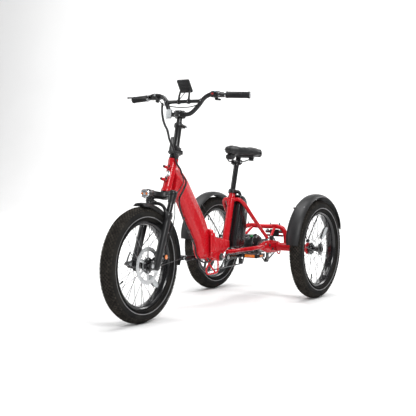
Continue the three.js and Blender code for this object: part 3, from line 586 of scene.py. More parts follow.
def spoked_hub(name, body, hub, bore_end, flange):
    """Crossed spokes with their nipples, and the hub that they are laced to."""
    b = Build()
    x, centre = hub[0], hub[1:]
    for i, angle in enumerate(turns(SPOKES)):
        side = 1 if i % 2 else -1
        lead = radians(48) * (1 if i % 4 < 2 else -1)
        inner, outer = around(x + side * 26, centre, 25, angle + lead), around(x + side * 4, centre, 194,
                angle)
        b.rod(inner, outer, 1.25, SPOKE, 8, 0.1)
        b.rod(outer - (outer - inner).normalized() * 13, outer, 2.1, SPOKE, 10, 0.4)
        b.rod(inner - Vector((side * 1.5, 0, 0)), inner + Vector((side * 4, 0, 0)), 2.2, SPOKE, 10, 0.4)
    half = [(14.5, bore_end - 3), (13, bore_end), (8, bore_end)]
    flanges = [(15.5, 18), (20, 24), (flange, 26.2), (flange + 1, 28), (flange, 29.5), (20, 31),
               (14.5, 34)] + half
    b.turned_x(mirror_profile(flanges) + [(14.5, 0)] + flanges, GLOSS, 48, centre=hub)
    return b.done(name, body, slot="wheel_metal")


def squircle(width, height, power, count):
    """A rounded rectangle as a superellipse."""
    return [(width * copysign(abs(cos(t)) ** power, cos(t)), height * copysign(abs(sin(t)) ** power, sin(t)))
            for t in turns(count)]


def valve_and_reflector(name, body, hub, valve_at, reflector_at):
    b = Build()
    x, centre = hub[0], hub[1:]
    for inner, outer, radius, material in ((150, 193, 3.0, RUBBER), (146, 160, 4.0, PLASTIC)):
        b.rod(around(x, centre, inner, radians(valve_at)), around(x, centre, outer, radians(valve_at)),
              radius, material, 14)
    turn = Matrix.Rotation(radians(reflector_at), 3, "X")
    middle = around(x, centre, 128, radians(reflector_at))
    for x, material, size, depth in ((6.5, CLEAR, 1.0, 3.0), (0, PLASTIC, 0.86, 4.6),
                                     (-6.5, CLEAR, 1.0, 3.0)):
        ring = squircle(46 * size, 14 * size, 0.7, 32)
        b.skin([[middle + turn @ Vector((x + dx, p * s, q * s)) for p, q in ring]
                for dx, s in ((-depth, 0.9), (-depth + 1, 1.0), (depth - 1, 1.0), (depth, 0.9))], material)
    return b.done(name, body, slot="black_plastic")


for side, bore_end, flange, valve_at, reflector_at in (("front", 40, 30, 205, 318),
                                                       ("left", 40.5, 33, 250, 40),
                                                       ("right", 40.5, 33, 110, 215)):
    body, hub = f"{side}_wheel", HUBS[side]
    tyre(f"{side}_tyre_casing", body, hub, f"{side}_tyre")
    rim(f"{side}_rim", body, hub, f"{side}_laced_wheel")
    spoked_hub(f"{side}_spokes_and_hub", body, hub, bore_end, flange)
    valve_and_reflector(f"{side}_valve_and_reflector", body, hub, valve_at, reflector_at)


def drilled_rotor():
    """The wavy brake disc on its carrier, with three rings of holes and windows between its arms."""
    outlines = [[(r * cos(t), r * sin(t)) for t, r in ((t, 89.2 + 0.8 * cos(12 * t)) for t in turns(144))]]
    for i, t in enumerate(turns(36)):
        outlines.append(circle2(arc((0, 0), 84.3, [t])[0], 2.2, 10))
        outlines.append(circle2(arc((0, 0), 78.5, [t + 0.087])[0], 1.9, 10))
        if i % 6 < 4:
            outlines.append(circle2(arc((0, 0), 73, [t])[0], 1.5, 8))
    for middle in turns(6):
        window = arc((0, 0), 69, spread(middle, 25, 8)) + arc((0, 0), 40, spread(middle, 20, 6)[::-1])
        outlines.append(rounded(window, 3, 2))
    outlines.append(circle2((0, 0), 20, 32))
    plate("front_rotor_disc", outlines, 2.0, 43.5, "front_wheel", STEEL, 0.3, "front_rotor",
          place=lambda x, y, z: Vector((x, y - AXLE_Y, z + WHEEL_RADIUS)))
    b = Build()
    b.turned_x([(13, 41), (36, 41), (37.5, 42), (37.5, 45.2), (36, 46), (24, 46), (22, 47.5), (13, 47.5)],
               BLACK, 48, centre=HUBS["front"])
    for t in turns(6, 0.5):
        b.bolt(around(46, HUBS["front"][1:], 30, t), (1, 0, 0), 3.2, 2.0, STEEL)
    b.done("front_rotor_carrier", "front_wheel")


drilled_rotor()


# ---------------------------------------------------------------- front fork

LEG_X, LEG_Y = 66, -30
HUB_Y, HUB_Z = -67.9, -26.9


def lower_legs():
    b = Build()
    for side in BOTH:
        x = side * LEG_X
        b.lathe(steering(x, LEG_Y, -36), steering(x, LEG_Y, 246),
                [(0, 12), (1.5, 15), (5, 17), (20, 18.2), (60, 18.6), (180, 18.8), (238, 18.8), (252, 19.0),
                 (258, 21.2), (272, 21.8), (278, 21.2), (281, 19.5), (282, 16.4)], BLACK)
        b.lathe(steering(x, LEG_Y, 245), steering(x, LEG_Y, 252), [(0, 18), (1, 19.4), (5, 19.2), (7, 16)],
                RUBBER, 36)
        foot = rounded([(-24, 26), (-60, -8), (-82, -18), (-85, -34), (-70, -46), (-24, -36)], 9, 4)
        rings = []
        for dx, size in ((-6.5, 0.96), (-5, 1), (5, 1), (6.5, 0.96)):
            rings.append([steering(x + dx, -52 + (y + 52) * size, -12 + (z + 12) * size) for y, z in foot])
        b.skin(rings, BLACK)
        b.rod(steering(side * 74, HUB_Y, HUB_Z), steering(side * 56, HUB_Y, HUB_Z), 10.5, STEEL, 30)
        b.bolt(steering(x + side * 5, -42, -12), (side, 0, 0), 3.0, 2.0)
    half = [(20, -57, 284), (44, -55, 273), (62, -49, 246), (LEG_X, -42, 218)]
    b.tube(steering.all([(-x, y, z) for x, y, z in half[::-1]] + [(0, -57, 286)] + half), 9, BLACK, 24, 5,
           [11, 10.5, 9.5, 9, 9, 9, 9.5, 10.5, 11], 0.82)
    b.rod(steering(-58, HUB_Y, HUB_Z), steering(58, HUB_Y, HUB_Z), 6.2, STEEL)
    b.block((0, -72, 289), (25, 40, 6), BLACK, 1.5, steering)
    b.block((0, -96.5, 295.5), (25, 5, 19), BLACK, 1.5, steering)
    b.bolt(steering(0, -64, 293), steering.up, 4.2, 3.0)
    return b.done("fork_lower_casting", "fork_lower", "fork_lowers")


def caliper():
    """A two-piston caliper over the rotor, with its banjo fitting and mounting bolts."""
    b = Build()
    for x0, x1 in ((35.5, 40.6), (46.4, 57.6)):
        rings = []
        for x, inset in ((x0, 1.5), (x0 + 1.5, 0), (x1 - 1.5, 0), (x1, 1.5)):
            outline = rounded([(-11 + inset, 16 + inset), (8, 12 + inset), (23 - inset, 20), (23 - inset, 50),
                               (10, 58 - inset), (-11 + inset, 54 - inset)], 7, 4)
            rings.append([steering(x, y, z) for y, z in outline])
        b.skin(rings, BLACK)
    b.block((43.5, 19, 35), (16, 8, 34), BLACK, 2, steering)
    b.lathe(steering(57.4, 6, 35), steering(60, 6, 35), [(0, 11), (0.6, 11), (1.2, 10), (1.3, 7)], STEEL, 32)
    for z in (14, 55):
        b.bolt(steering(57.2, 14, z), (1, 0, 0), 3.4, 2.5, STEEL)
    b.bolt(steering(52, 2, 57), steering.up, 4.0, 4.0)
    return b.done("caliper_body", "fork_lower", "brake_caliper")


def fender_drop(u):
    """How far a mudguard's skin lies below its crown, at a share u of its half width."""
    return 13 * abs(u) ** 3.0 + 2.5 * u * u


def bent_fender(centre, radius, half, first, last, tongue):
    """A pressed mudguard: a crowned channel with rolled edges, rounded at both ends."""
    b = Build()
    across, steps = 17, 64
    rings = []
    for i in range(steps + 1):
        angle = radians(first + (last - first) * i / steps)
        narrow = 1 - 0.16 * max(0, 1 - min(i, steps - i) / tongue) ** 2
        w = half * narrow
        outer, inner = [], []
        for j in range(across + 1):
            u = -1 + 2 * j / across
            outer.append((radius + 2 - fender_drop(u), w * u))
            inner.append((radius - 0.6 - fender_drop(u), w * u * 0.965))
        ring = outer + [(radius - 14.4, w * 1.012), (radius - 16, w * 0.985)] + inner[::-1]
        ring += [(radius - 16, -w * 0.985), (radius - 14.4, -w * 1.012)]
        rings.append([Vector((centre[0], 0, 0)) + around(x, centre[1:], r, angle) for r, x in ring])
    b.skin(rings, PLASTIC)
    return b


def front_fender():
    b = bent_fender(HUBS["front"], 293, 39.5, -5.5, 92.5, 5)
    for side in BOTH:
        for points, radius in (([(40, 281, 286), (48, 240, 282), (60, 150, 277), (76, 62, 274)], 2.4),
                               ([(40, 215, 460), (50, 165, 416), (66, 95, 348), (79, 62, 288)], 2.2)):
            b.tube([(side * x, y - AXLE_Y, z) for x, y, z in points], radius, PLASTIC, 12, 8)
        b.block((side * 40.5, 280 - AXLE_Y, 286), (5, 12, 16), PLASTIC, 1.5)
        b.bolt((side * 77, 60 - AXLE_Y, 276), (side, 0, 0), 3.4, 2.0)
    b.done("front_fender_and_stays", "fork_lower", "front_fender")


def bullet_lamp():
    """A chrome-rimmed lamp with a tapered black body, two amber side lights and a bracket."""
    b = Build()
    c = Vector((0, -522, 613))
    front, back = c + Vector((0, -36, 0)), c + Vector((0, 34, 0))
    b.lathe(front, back, [(1.4, 19.6), (0.2, 20.6), (0.1, 21.8), (1, 22.8), (4, 23), (8.6, 22.9),
                          (9.5, 22)], CHROME, 48)
    b.lathe(front, back, [(9.2, 21.6), (12, 22.3), (24, 22.4), (24.6, 21.9), (25.6, 21.9), (26.2, 22.3),
                          (36, 21.2), (48, 18.2), (58, 13.4), (64, 8.6), (67, 5), (68, 2), (68.2, 0.4)],
            DARK, 48)
    b.lathe(front, back, [(2.4, 20.4), (2.0, 19.6), (1.4, 15), (0.8, 8), (0.5, 2), (0.5, 0.3)], LENS, 48)
    for x in (-12, 12):
        at = front + Vector((x, 2.4, 0))
        b.lathe(at, at + Vector((0, -1, 0)), [(-1, 5.6), (1.4, 5.6), (2.8, 4.6), (3.2, 0.4)], AMBER, 28)
    at = front + Vector((0, 2.4, 0))
    b.lathe(at, at + Vector((0, -1, 0)), [(-1, 7), (1, 7), (2.4, 5.4), (2.9, 0.4)], CHROME, 28)
    b.lathe(c + Vector((-9, 14, -29)), c + Vector((9, 14, -29)),
            [(0, 3.4), (0.6, 4.4), (17.4, 4.4), (18, 3.4)], DARK, 24)
    b.block(c + Vector((0, 14, -22)), (12, 11, 12), BLACK, 2)
    return b.done("bullet_lamp", "headlight", "headlight", "lamp_chrome")


def side_reflectors():
    b = Build()
    for side in BOTH:
        a = steering(side * 74, -2, 38)
        b.lathe(a, a + Vector((side, 0, 0)), [(0, 6), (8, 6), (8.4, 11.2), (10, 12.4), (14, 12.4),
                                              (15, 11.4)], PLASTIC, 36)
        b.lathe(a + Vector((side * 15, 0, 0)), a + Vector((side * 16, 0, 0)),
                [(-1, 10.6), (0.6, 10.6), (1.4, 9), (1.7, 4), (1.7, 0.4)], AMBER, 36)
    b.done("side_reflectors", "fork_lower")


def quick_lever():
    b = Build()
    cam = steering(-84, -67, HUB_Z)
    b.rod(cam - steering.ahead * 8, cam + steering.ahead * 8, 8.4, DARK, 32, 1.5)
    b.tube(steering.all([(-84.5, -67, -24), (-85, -66, -10), (-85, -64, 12), (-84, -61, 34)]), 4.4, DARK,
           20, 4, [6, 4.6, 4.4, 3.4], 0.8)
    return b.done("front_quick_release", "axle_lever", "axle_lever")


def crown():
    """The fork crown with its clamps, both stanchions, the lower headset cup and the steerer."""
    b = Build()
    half = [(22, -27), (56, -52), (80, -50), (88, -32), (78, -10), (24, 24)]
    plan = [(-x, y) for x, y in reversed(half[:4])] + half + [(-x, y) for x, y in reversed(half[4:])]
    rings = []
    for z, inset in ((334, 3.2), (335, 1.2), (337.5, 0), (352.5, 0), (355, 1.2), (356, 3.2)):
        size = 1 - inset / 60
        rings.append([steering(x * size, -14 + (y + 14) * size, z) for x, y in rounded(plan, 16, 5)])
    b.skin(rings, BLACK)
    for side in BOTH:
        x = side * LEG_X
        for foot, profile, material, sides in ((150, [(0, 13), (1, 14.3), (189, 14.3)], GLOSS, 40),
                                               (300, [(0, 14.5), (1, 17.2), (22, 18.6), (34, 19.4),
                                                      (57, 19.4), (60, 17.6), (61, 12)], BLACK, 40)):
            b.lathe(steering(x, LEG_Y, foot), steering(x, LEG_Y, foot + 60), profile, material, sides)
        b.tube(steering.all([(side * 4, 2, 340), (side * 30, -8, 340), (side * 50, -20, 336),
                             (side * 68, -31, 328)]), 16, BLACK, 28, 4, [17, 16, 15.6, 17], 0.88)
        b.block((x + side * 18, LEG_Y, 340), (6, 15, 26), BLACK, 2, steering)
        for z in (332, 348):
            b.bolt(steering(x + side * 20.6, LEG_Y, z), (side, 0, 0), 3.2, 2.2)
        b.lathe(steering(x, LEG_Y, 355), steering(x, LEG_Y, 362),
                [(0, 16), (3.4, 16), (4.6, 15), (4.8, 9), (3.4, 8)], DARK, 36)
    b.lathe(steering(0, 0, 356), steering(0, 0, 372), [(0, 24), (2, 25.5), (5.5, 25.5), (6, 21), (6.4, 16)],
            BLACK, 44)
    b.rod(steering(0, 0, 345), steering(0, 0, 566), 14.2, BLACK, 30)
    return b.done("fork_crown_and_stanchions", "fork", "fork_crown")


for make in (lower_legs, caliper, front_fender, bullet_lamp, side_reflectors, quick_lever, crown):
    make()


# ---------------------------------------------------------------- front half of the frame

def corrugated(build, points, radius, material, pitch=5.0, sides=14):
    """A cable bundle in a spiral wrap: a tube with shallow rings along it."""
    path = smooth_line(points, pitch / 4)
    rings = []
    for i, (p, (side, up)) in enumerate(zip(path, carried_frames(path))):
        r = radius * (0.93 + 0.07 * cos(TAU * i / 4))
        rings.append([p + side * (r * cos(turn)) + up * (r * sin(turn)) for turn in turns(sides)])
    return build.skin(rings, material)


BEAM_STATIONS = (((-12.4, 408), (-12.4, 257)), ((-26, 436), (-60, 257)), ((-41, 463), (-97, 263)),
                 ((-56, 484), (-116, 292)), ((-78, 512), (-123, 338)), ((-124, 570), (-169, 402)),
                 ((-165, 622), (-216, 466)), ((-206, 673), (-246, 510)), ((-253, 714), (-278, 556)),
                 ((-290, 742), (-312, 584)), ((-318, 752), (-343, 606)))
BEAM_SECTION = ((0, 13), (0.13, 24), (0.24, 27), (0.58, 27), (0.84, 17.5), (1, 7.5))
FOLD_FACE = rounded([(-34, 260), (34, 260), (34, 406), (12, 411), (-12, 411), (-34, 406)], 9, 4)


def fold_face(build, levels):
    """One of the two plates that meet at the fold; levels are (y, share of its full width and height)."""
    build.skin([[Vector((x * (1 + grow / 34), y, 333 + (z - 333) * (1 + grow / 73))) for x, z in FOLD_FACE]
                for y, grow in levels], RED)


CABLE_BOSSES = (420, 484)


def beam():
    """The deep main beam: narrow along its top and bottom edges and widest below its middle."""
    b = Build()
    rings = []
    for upper, lower in BEAM_STATIONS:
        upper, lower = Vector(upper), Vector(lower)
        depth = (upper - lower).length
        outline = [(w, v * depth) for v, w in BEAM_SECTION] + [(-w, v * depth)
                                                               for v, w in reversed(BEAM_SECTION)]
        places = ((x, lower + (upper - lower) * (h / depth)) for x, h in rounded(outline, 7, 3))
        rings.append([Vector((x, *p)) for x, p in places])
    dense = [smooth_line([ring[i] for ring in rings], 14) for i in range(len(rings[0]))]
    shortest = min(len(line) for line in dense)
    b.skin([[line[round(k * (len(line) - 1) / (shortest - 1))] for line in dense] for k in range(shortest)],
           RED)
    fold_face(b, ((-26.3, -1.4), (-24.8, 0), (-14.2, 0), (-12.5, -1.4)))
    b.rod((-45, FOLD_Y, 305.4), (-45, FOLD_Y, 360.6), 9, RED, 32, 1.4)
    b.block((-37, FOLD_Y - 5.5, 333), (16, 9, 54), RED, 1.5)
    b.lathe(steering(0, 0, 363), steering(0, 0, 537), [
        (0, 24), (1, 26), (10, 26.4), (15, 25.6), (19, 23.4), (28, 23), (146, 23), (155, 23.4), (159, 24.6),
        (163, 25.2), (171, 25.2), (173, 23.6), (174, 21)], RED, 56)
    for height in CABLE_BOSSES:
        for sign in BOTH:
            b.tube(steering.all([(sign * 4, -20, height), (sign * 9, -29, height), (sign * 16, -35, height),
                                 (sign * 16, -42, height)]), 7.4, RED, 22, 2.5, [9, 8, 7.2, 7.0])
    b.done("front_beam_and_head_tube", "front_frame", "front_frame")




def head_tube_fittings():
    b = Build()
    for height in CABLE_BOSSES:
        for x in (-16, 16):
            b.lathe(steering(x, -41, height), steering(x, -47, height),
                    [(0, 5.6), (3, 5.8), (5, 4.8), (6, 2.6), (6.2, 0.4)], PLASTIC, 24)
    for foot in (538, 356):
        b.lathe(steering(0, 0, foot), steering(0, 0, foot + 4),
                [(0, 22), (0.6, 24.4), (3.4, 24.4), (4, 22)], BLACK, 48)
    b.rod((-45, FOLD_Y, 268), (-45, FOLD_Y, 272), 5.6, DARK)
    b.rod((20.3, -128, 496), (23.2, -129, 497), 3.0, PLASTIC, 18)
    b.done("head_tube_fittings", "front_frame", slot="dark_steel")
    b = Build()
    rings = []
    for y, size in ((-22.4, 0.96), (-24.4, 1.0), (-25.4, 0.94), (-25.8, 0.8)):
        rings.append([steering(x, y + 23.4 - sqrt(max(23.4 ** 2 - x * x, 0)), 452 + z)
                      for x, z in squircle(13 * size, 17 * size, 0.75, 40)])
    b.skin(rings, STEEL)
    b.done("plain_head_badge", "front_frame")


def frame_loom():
    """The wrapped cables down the head tube and along the beam's lower edge, on three clips."""
    b = Build()
    corrugated(b, ((38, -301, 702), (40, -266, 664), (40, -293, 618), (37, -318, 586), (24, -300, 556),
                   (10, -264, 508), (6, -218, 446), (6, -134, 330), (9, -122, 280), (20, -82, 244),
                   (32, -44, 243), (33.5, -22, 250)), 4.6, PLASTIC)
    along, into_beam = Vector((0, 0.587, -0.81)), Vector((0, 0.81, 0.587))
    for at in ((8, -241, 477), (6, -190, 407.3), (6, -155, 359)):
        p = Vector(at)
        b.lathe(p - along * 5, p + along * 5, [(0, 5.2), (1, 6.2), (9, 6.2), (10, 5.2)], DARK, 24)
        b.rod(p, p + into_beam * 12, 3, DARK, 16)
    b.done("frame_cable_loom", "front_frame", "loom_frame")


def fold_latch():
    outline = rounded([(-40, 288), (-32, 279), (-4, 282), (6, 300), (6, 372), (-2, 391), (-30, 396),
                       (-40, 386)], 8, 5)
    plate("fold_latch_plate", [outline], 8.4, 40.5, "frame_latch", RED, 1.6, "frame_latch")
    b = Build()
    b.tube([(45.4, -20, 300), (47.5, -20, 318), (47.8, -20, 340), (47.2, -20, 362), (45.4, -20, 378)], 5.2,
           RED, 20, 4, [3.4, 5.2, 5.6, 5.2, 3.4], 0.62)
    for z in (290, 384):
        b.bolt((44.6, -33, z), (1, 0, 0), 3.2, 1.8, STEEL)
    b.done("fold_latch_rib_and_pins", "frame_latch")


for make in (beam, head_tube_fittings, frame_loom, fold_latch):
    make()


# ---------------------------------------------------------------- stem, cables and handlebar

def stem_foot():
    b = Build()
    b.lathe(steering(0, 0, 543), steering(0, 0, 568), [(0, 21), (1, 23), (22, 23), (25, 21)], BLACK, 44)
    b.block((0, -1.5, -11.4), (44, 51, 21.6), BLACK, 3, stem)
    for side in BOTH:
        b.block((side * 18.5, 27, -7.4), (8, 20, 13.2), BLACK, 2, stem)
        b.rod(stem(side * 14.3, 31, 1), stem(side * 22.4, 31, 1), 7, BLACK, 28)
        b.bolt(stem(side * 22, 31, 1), (side, 0, 0), 3.6, 1.6, STEEL)
    for z in (-8, -17):
        b.bolt(stem(22, -16, z), (1, 0, 0), 2.8, 2.0)
    b.done("stem_fold_base", "fork", "stem_base")
    b = Build()
    corrugated(b, [(26.4, -361, 834.5), (28, -350, 815), (30, -344, 795), (31, -342, 768)], 5.2, PLASTIC)
    b.done("fork_cable_loom", "fork", "loom_fork")


def slack(name, points, radius, ringed=False):
    """A length of hose or loom that runs between two bodies, made in place and riding on neither."""
    b = Build()
    if ringed:
        corrugated(b, points, radius, PLASTIC)
    else:
        b.tube(points, radius, PLASTIC, 16, 4)
    piece = b.done(name, None)
    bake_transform(piece)


def steering_cables():
    slack("steering_cable_slack", [(31, -342, 770), (34, -334, 750), (40, -316, 726),
                                                          (38.4, -302, 703)], 5, True)
    behind_leg = steering(67, -6, 326)
    slack("brake_hose_upper", [(39, -296, 694), (52, -306, 668), (64, -346, 636),
                                                      (67, -380, 614), behind_leg], 2.4)
    slack("brake_hose_lower", [behind_leg, *steering.all([
        (74, -2, 286), (88, -6, 236), (88, -12, 150), (70, 4, 84), (50, 8, 57)])], 2.4)


def stem_mast():
    b = Build()
    b.block((0, -1.5, 9.6), (42, 47, 18.6), BLACK, 3, stem)
    b.rod(stem(-12.8, 31, 1), stem(12.8, 31, 1), 6.4, BLACK, 28)
    b.block((0, 24, 7), (25, 14, 9.4), BLACK, 1.5, stem)
    b.lathe(stem(0, 0, 16), stem(0, 0, 138), [
        (0, 20), (6, 18.4), (14, 17), (96, 17), (99, 17.6), (101, 22), (103, 22.6), (119, 22.6), (121.4, 21),
        (122, 17.6), (121.6, 15)], BLACK, 52)
    b.lathe(stem(0, 0, 138), stem(0, 0, 142), [(0, 17.4), (3, 17.2), (4, 14.2)], PLASTIC, 44)
    b.block((7, 26, 127.5), (26, 14, 15), BLACK, 2, stem)
    b.bolt(stem(-6, 28, 127.5), (-1, 0, 0), 3.8, 2.0, STEEL)
    b.done("stem_mast_body", "stem", "stem_mast")
    b = Build()
    b.rod(stem(-16.8, -34, -14), stem(16.8, -34, -14), 5.4, DARK, 26)
    b.tube(stem.all([(0, -33.5, -14), (0, -33.6, 4), (0, -35, 22), (0, -37.5, 42), (0, -40, 60)]), 8, DARK,
           24, 4, [12, 13, 11, 8.5, 6.5], 0.42)
    b.done("stem_fold_lever", "stem_latch", "stem_latch")
    b = Build()
    b.rod(stem(27, 28, 121), stem(27, 28, 135), 5.9, STEEL, 28)
    b.tube(stem.all([(27, 28, 128), (28.4, 8, 128), (28.6, -14, 128), (27, -31, 128)]), 4.2, DARK, 20, 4,
           [5, 4.2, 4.6, 3.2], 0.7)
    b.done("stem_height_lever", "height_lever", "height_lever")


CLAMP_Z = 184
CLAMP = stem(0, 0, CLAMP_Z)
CROSSBAR = (-229, 1064)


def bar_post():
    b = Build()
    b.rod(stem(0, 0, 42), stem(0, 0, CLAMP_Z - 10), 13.6, BLACK, 44)
    b.rod(stem(-24, 0, CLAMP_Z), stem(24, 0, CLAMP_Z), 20.6, BLACK, 44, 2)
    b.block((0, -19, CLAMP_Z), (43, 15, 33), BLACK, 3, stem)
    for x in (-15, 15):
        for z in (-10, 10):
            b.bolt(stem(x, -26.2, CLAMP_Z + z), stem.ahead, 3.0, 1.4, STEEL)
    b.block((-38, -26, CLAMP_Z - 2), (36, 5, 9), PLASTIC, 1, stem)
    b.done("bar_post_and_clamp", "bars", "bar_post")
    b = Build()
    b.block((-46, -31.5, CLAMP_Z - 4), (34, 5, 46), PLASTIC, 1.5, stem)
    b.block((-46, -36.2, CLAMP_Z - 4), (32, 5.4, 44), CLEAR, 2, stem)
    b.done("front_reflector", "bars")


def handlebar():
    half = [(34, 0, 0), (62, 3, 6), (92, 24, 42)]
    half = [(x, CLAMP.y + y, CLAMP.z + z) for x, y, z in half]
    half += [(118, -222, 1078), (142, -214, 1093), (176, -213, 1095), (230, -210, 1091), (290, -194.5, 1089),
             (354, -178, 1087)]
    b = Build()
    b.tube([(-x, y, z) for x, y, z in reversed(half)] + [(0, CLAMP.y, CLAMP.z)] + half, 11, BLACK, 28, 5)
    b.rod((-109, *CROSSBAR), (109, *CROSSBAR), 9.2, BLACK, 32)
    for side in BOTH:
        b.rod((side * 99, *CROSSBAR), (side * 113, -228, 1066), 12.6, BLACK, 32, 2)
        b.bolt((side * 106, -241, 1066), (0, -1, 0), 2.8, 1.6, STEEL)
    b.done("handlebar_and_crossbar", "bars", "handlebar")


def grip(side, sign):
    b = Build()
    a, c = Vector((sign * 238, -208, 1090.7)), Vector((sign * 355, -177.7, 1087))
    length = (c - a).length
    profile = [(0, 12.6), (0.4, 16.6), (3, 17.2), (6, 17.0), (6.8, 15.2)]
    t = 8.0
    while t < length - 16:
        profile += [(t, 14.9), (t + 0.8, 16.0), (t + 2.6, 16.0), (t + 3.4, 14.9)]
        t += 4.6
    profile += [(length - 12, 15.2), (length - 11, 17), (length - 3, 17.2), (length - 0.6, 16.4),
                (length, 14)]
    b.lathe(a, c, profile, RUBBER, 44)
    b.done(f"{side}_ribbed_grip", "bars", f"{side}_grip", "rubber")
    b = Build()
    along = (c - a).normalized()
    b.lathe(c - along, c + along * 2.2, [(0, 13.6), (1.4, 13.6), (2.4, 12.6), (3.0, 9), (3.2, 0.4)], STEEL)
    b.lathe(a - along * 7, a, [(0, 13.4), (0.8, 15), (5.6, 15), (6.8, 13.4)], STEEL)
    b.done(f"{side}_grip_end_rings", "bars")


def pod(side, sign):
    """A switch pod beside the grip, with the brake lever's perch next to it."""
    b = Build()
    at = mirrored(sign)
    for centre, size, material, edge in (
            ((179, -214, 1095), (41, 43, 31), PLASTIC, 5), ((179, -214, 1095), (1.2, 44.5, 32.4), DARK, 0.5),
            ((212, -211, 1092), (26, 40, 26), BLACK, 5), ((216, -233, 1099.6), (19, 22, 2.2), BLACK, 0.9),
            ((216, -233, 1086.4), (19, 22, 3.8), BLACK, 1.2)):
        b.block(centre, size, material, edge, at)
    b.rod(at(216, -240, 1083.6), at(216, -240, 1102.4), 4.2, STEEL)
    b.rod(at(214, -226, 1099.5), at(198, -238, 1102), 4.6, DARK)
    b.lathe(at(201, -234, 1101), at(188, -246, 1104), [(0, 4), (6, 4), (8, 3), (17, 2.6)], RUBBER, 20)
    for z in (1086, 1104):
        b.bolt(at(166, -191.6, z), (0, 1, 0), 2.4, 1.0)
    b.done(f"{side}_switch_pod_and_perch", "bars", f"{side}_controls")


def turned_button(build, x, y, z, profile, material, sides=28):
    """A round button on a pod's rear face, turned about the line ahead from (x, y, z)."""
    build.lathe((x, y, z), (x, y - 4, z), profile, material, sides)


def pod_buttons():
    b = Build()
    turned_button(b, 189, -234.6, 1105, [(0, 4.4), (3.4, 4.4), (4.4, 3.4), (4.6, 0.4)], BLUE_BUTTON)
    turned_button(b, 189, -234.6, 1090, [(0, 4), (2.6, 4), (3.4, 3.2), (3.6, 0.4)], PLASTIC)
    turned_button(b, 176, -234.2, 1098, [(0, 7.4), (4.2, 7.4), (4.6, 7.0), (4.6, 6.6), (1.4, 6.5)], DARK, 32)
    b.done("left_pod_buttons", "bars", slot="button_red")
    b = Build()
    turned_button(b, -176, -234.6, 1101, [(0, 5), (3.4, 5), (4.4, 4), (4.6, 0.4)], CLEAR)
    b.block((-187, -236, 1090), (9, 4, 6), PLASTIC, 1)
    b.done("right_pod_buttons", "bars", slot="button_red")
    b = Build()
    turned_button(b, 176, -238.9, 1098, [(0, 6.0), (2.1, 6.0), (3.1, 5.2), (3.5, 3), (3.3, 0.4)],
                  RED_BUTTON, 36)
    b.done("horn_push", "horn_button", "horn_button", "button_red")


def lever(side, sign):
    b = Build()
    points = [(213, -241, 1093.5), (224, -243, 1093.5), (244, -240, 1093.5), (270, -239.5, 1093.5),
              (304, -242.5, 1093.5), (330, -245, 1093.5), (340, -244, 1093.5)]
    b.tube([(sign * x, y, z) for x, y, z in points], 5, BLACK, 24, 4, [7, 7, 5.4, 4.8, 4.6, 4.8, 4.8], 0.6)
    b.lathe((sign * 336, -244.6, 1093.5), (sign * 345, -244, 1093.5),
            [(0, 3), (1.4, 4.6), (4, 5.0), (6.6, 4.6), (8.4, 2.6), (8.8, 0.4)], BLACK, 24)
    b.done(f"{side}_brake_blade", f"{side}_brake_lever", f"{side}_brake_lever")


def thumb_lever(name, body, sign):
    b = Build()
    b.rod((sign * 180, -208, 1078.2), (sign * 180, -208, 1068), 9, PLASTIC, 32, 1.5)
    b.tube([(sign * 180, -206, 1072), (sign * 182, -198, 1071), (sign * 186, -189, 1070.5),
            (sign * 190, -183, 1070)], 5, PLASTIC, 22, 3, [7.5, 6.5, 6.5, 5], 0.62)
    b.done(name, body, body)


def controls():
    for side, sign in SIDES:
        grip(side, sign)
        pod(side, sign)
        lever(side, sign)
    pod_buttons()
    thumb_lever("thumb_throttle", "throttle_lever", 1)
    thumb_lever("gear_thumb_lever", "shift_lever", -1)


def display_unit():
    b = Build()
    tilt = Matrix.Rotation(radians(33), 3, "X")
    middle = Vector((0, -220, 1142))

    def at(x, y, z):
        return middle + tilt @ Vector((x, y, z))
    rings = []
    for y, half in ((-6.8, 33), (-5, 35.2), (-3.5, 36), (3.5, 36), (5.6, 35.2), (6.8, 33.4)):
        rings.append([at(x, y, z) for x, z in rounded(box_outline(-half, -half, half, half), 7, 5)])
    b.skin(rings, PLASTIC)
    for z in (-16, 2, 20):
        b.block((0, -8.2, z), (58, 3.4, 11), PLASTIC, 1.4, at)
    b.block((0, 7.2, 1), (62, 1.4, 60), SCREEN, 0.5, at)
    for x in (-12, 0, 12):
        b.block((x, 7.4, -32.5), (8, 1.6, 2.6), DARK, 0.5, at)
    for x in (-30, 30):
        b.lathe((x - 5.5, *CROSSBAR), (x + 5.5, *CROSSBAR), [(0, 11), (0.8, 12.8), (10.2, 12.8), (11, 11)],
                PLASTIC, 36)
        b.tube([(x, -229, 1075), (x, -226, 1092), (x * 0.94, -220, 1110), (x * 0.9, -212, 1128)], 5,
               PLASTIC, 20, 4, [6, 5, 5, 5.4], 0.8)
        b.bolt((x, -241.4, 1064), (0, -1, 0), 2.6, 1.0, STEEL)
    return b.done("display_on_arms", "display", "display")


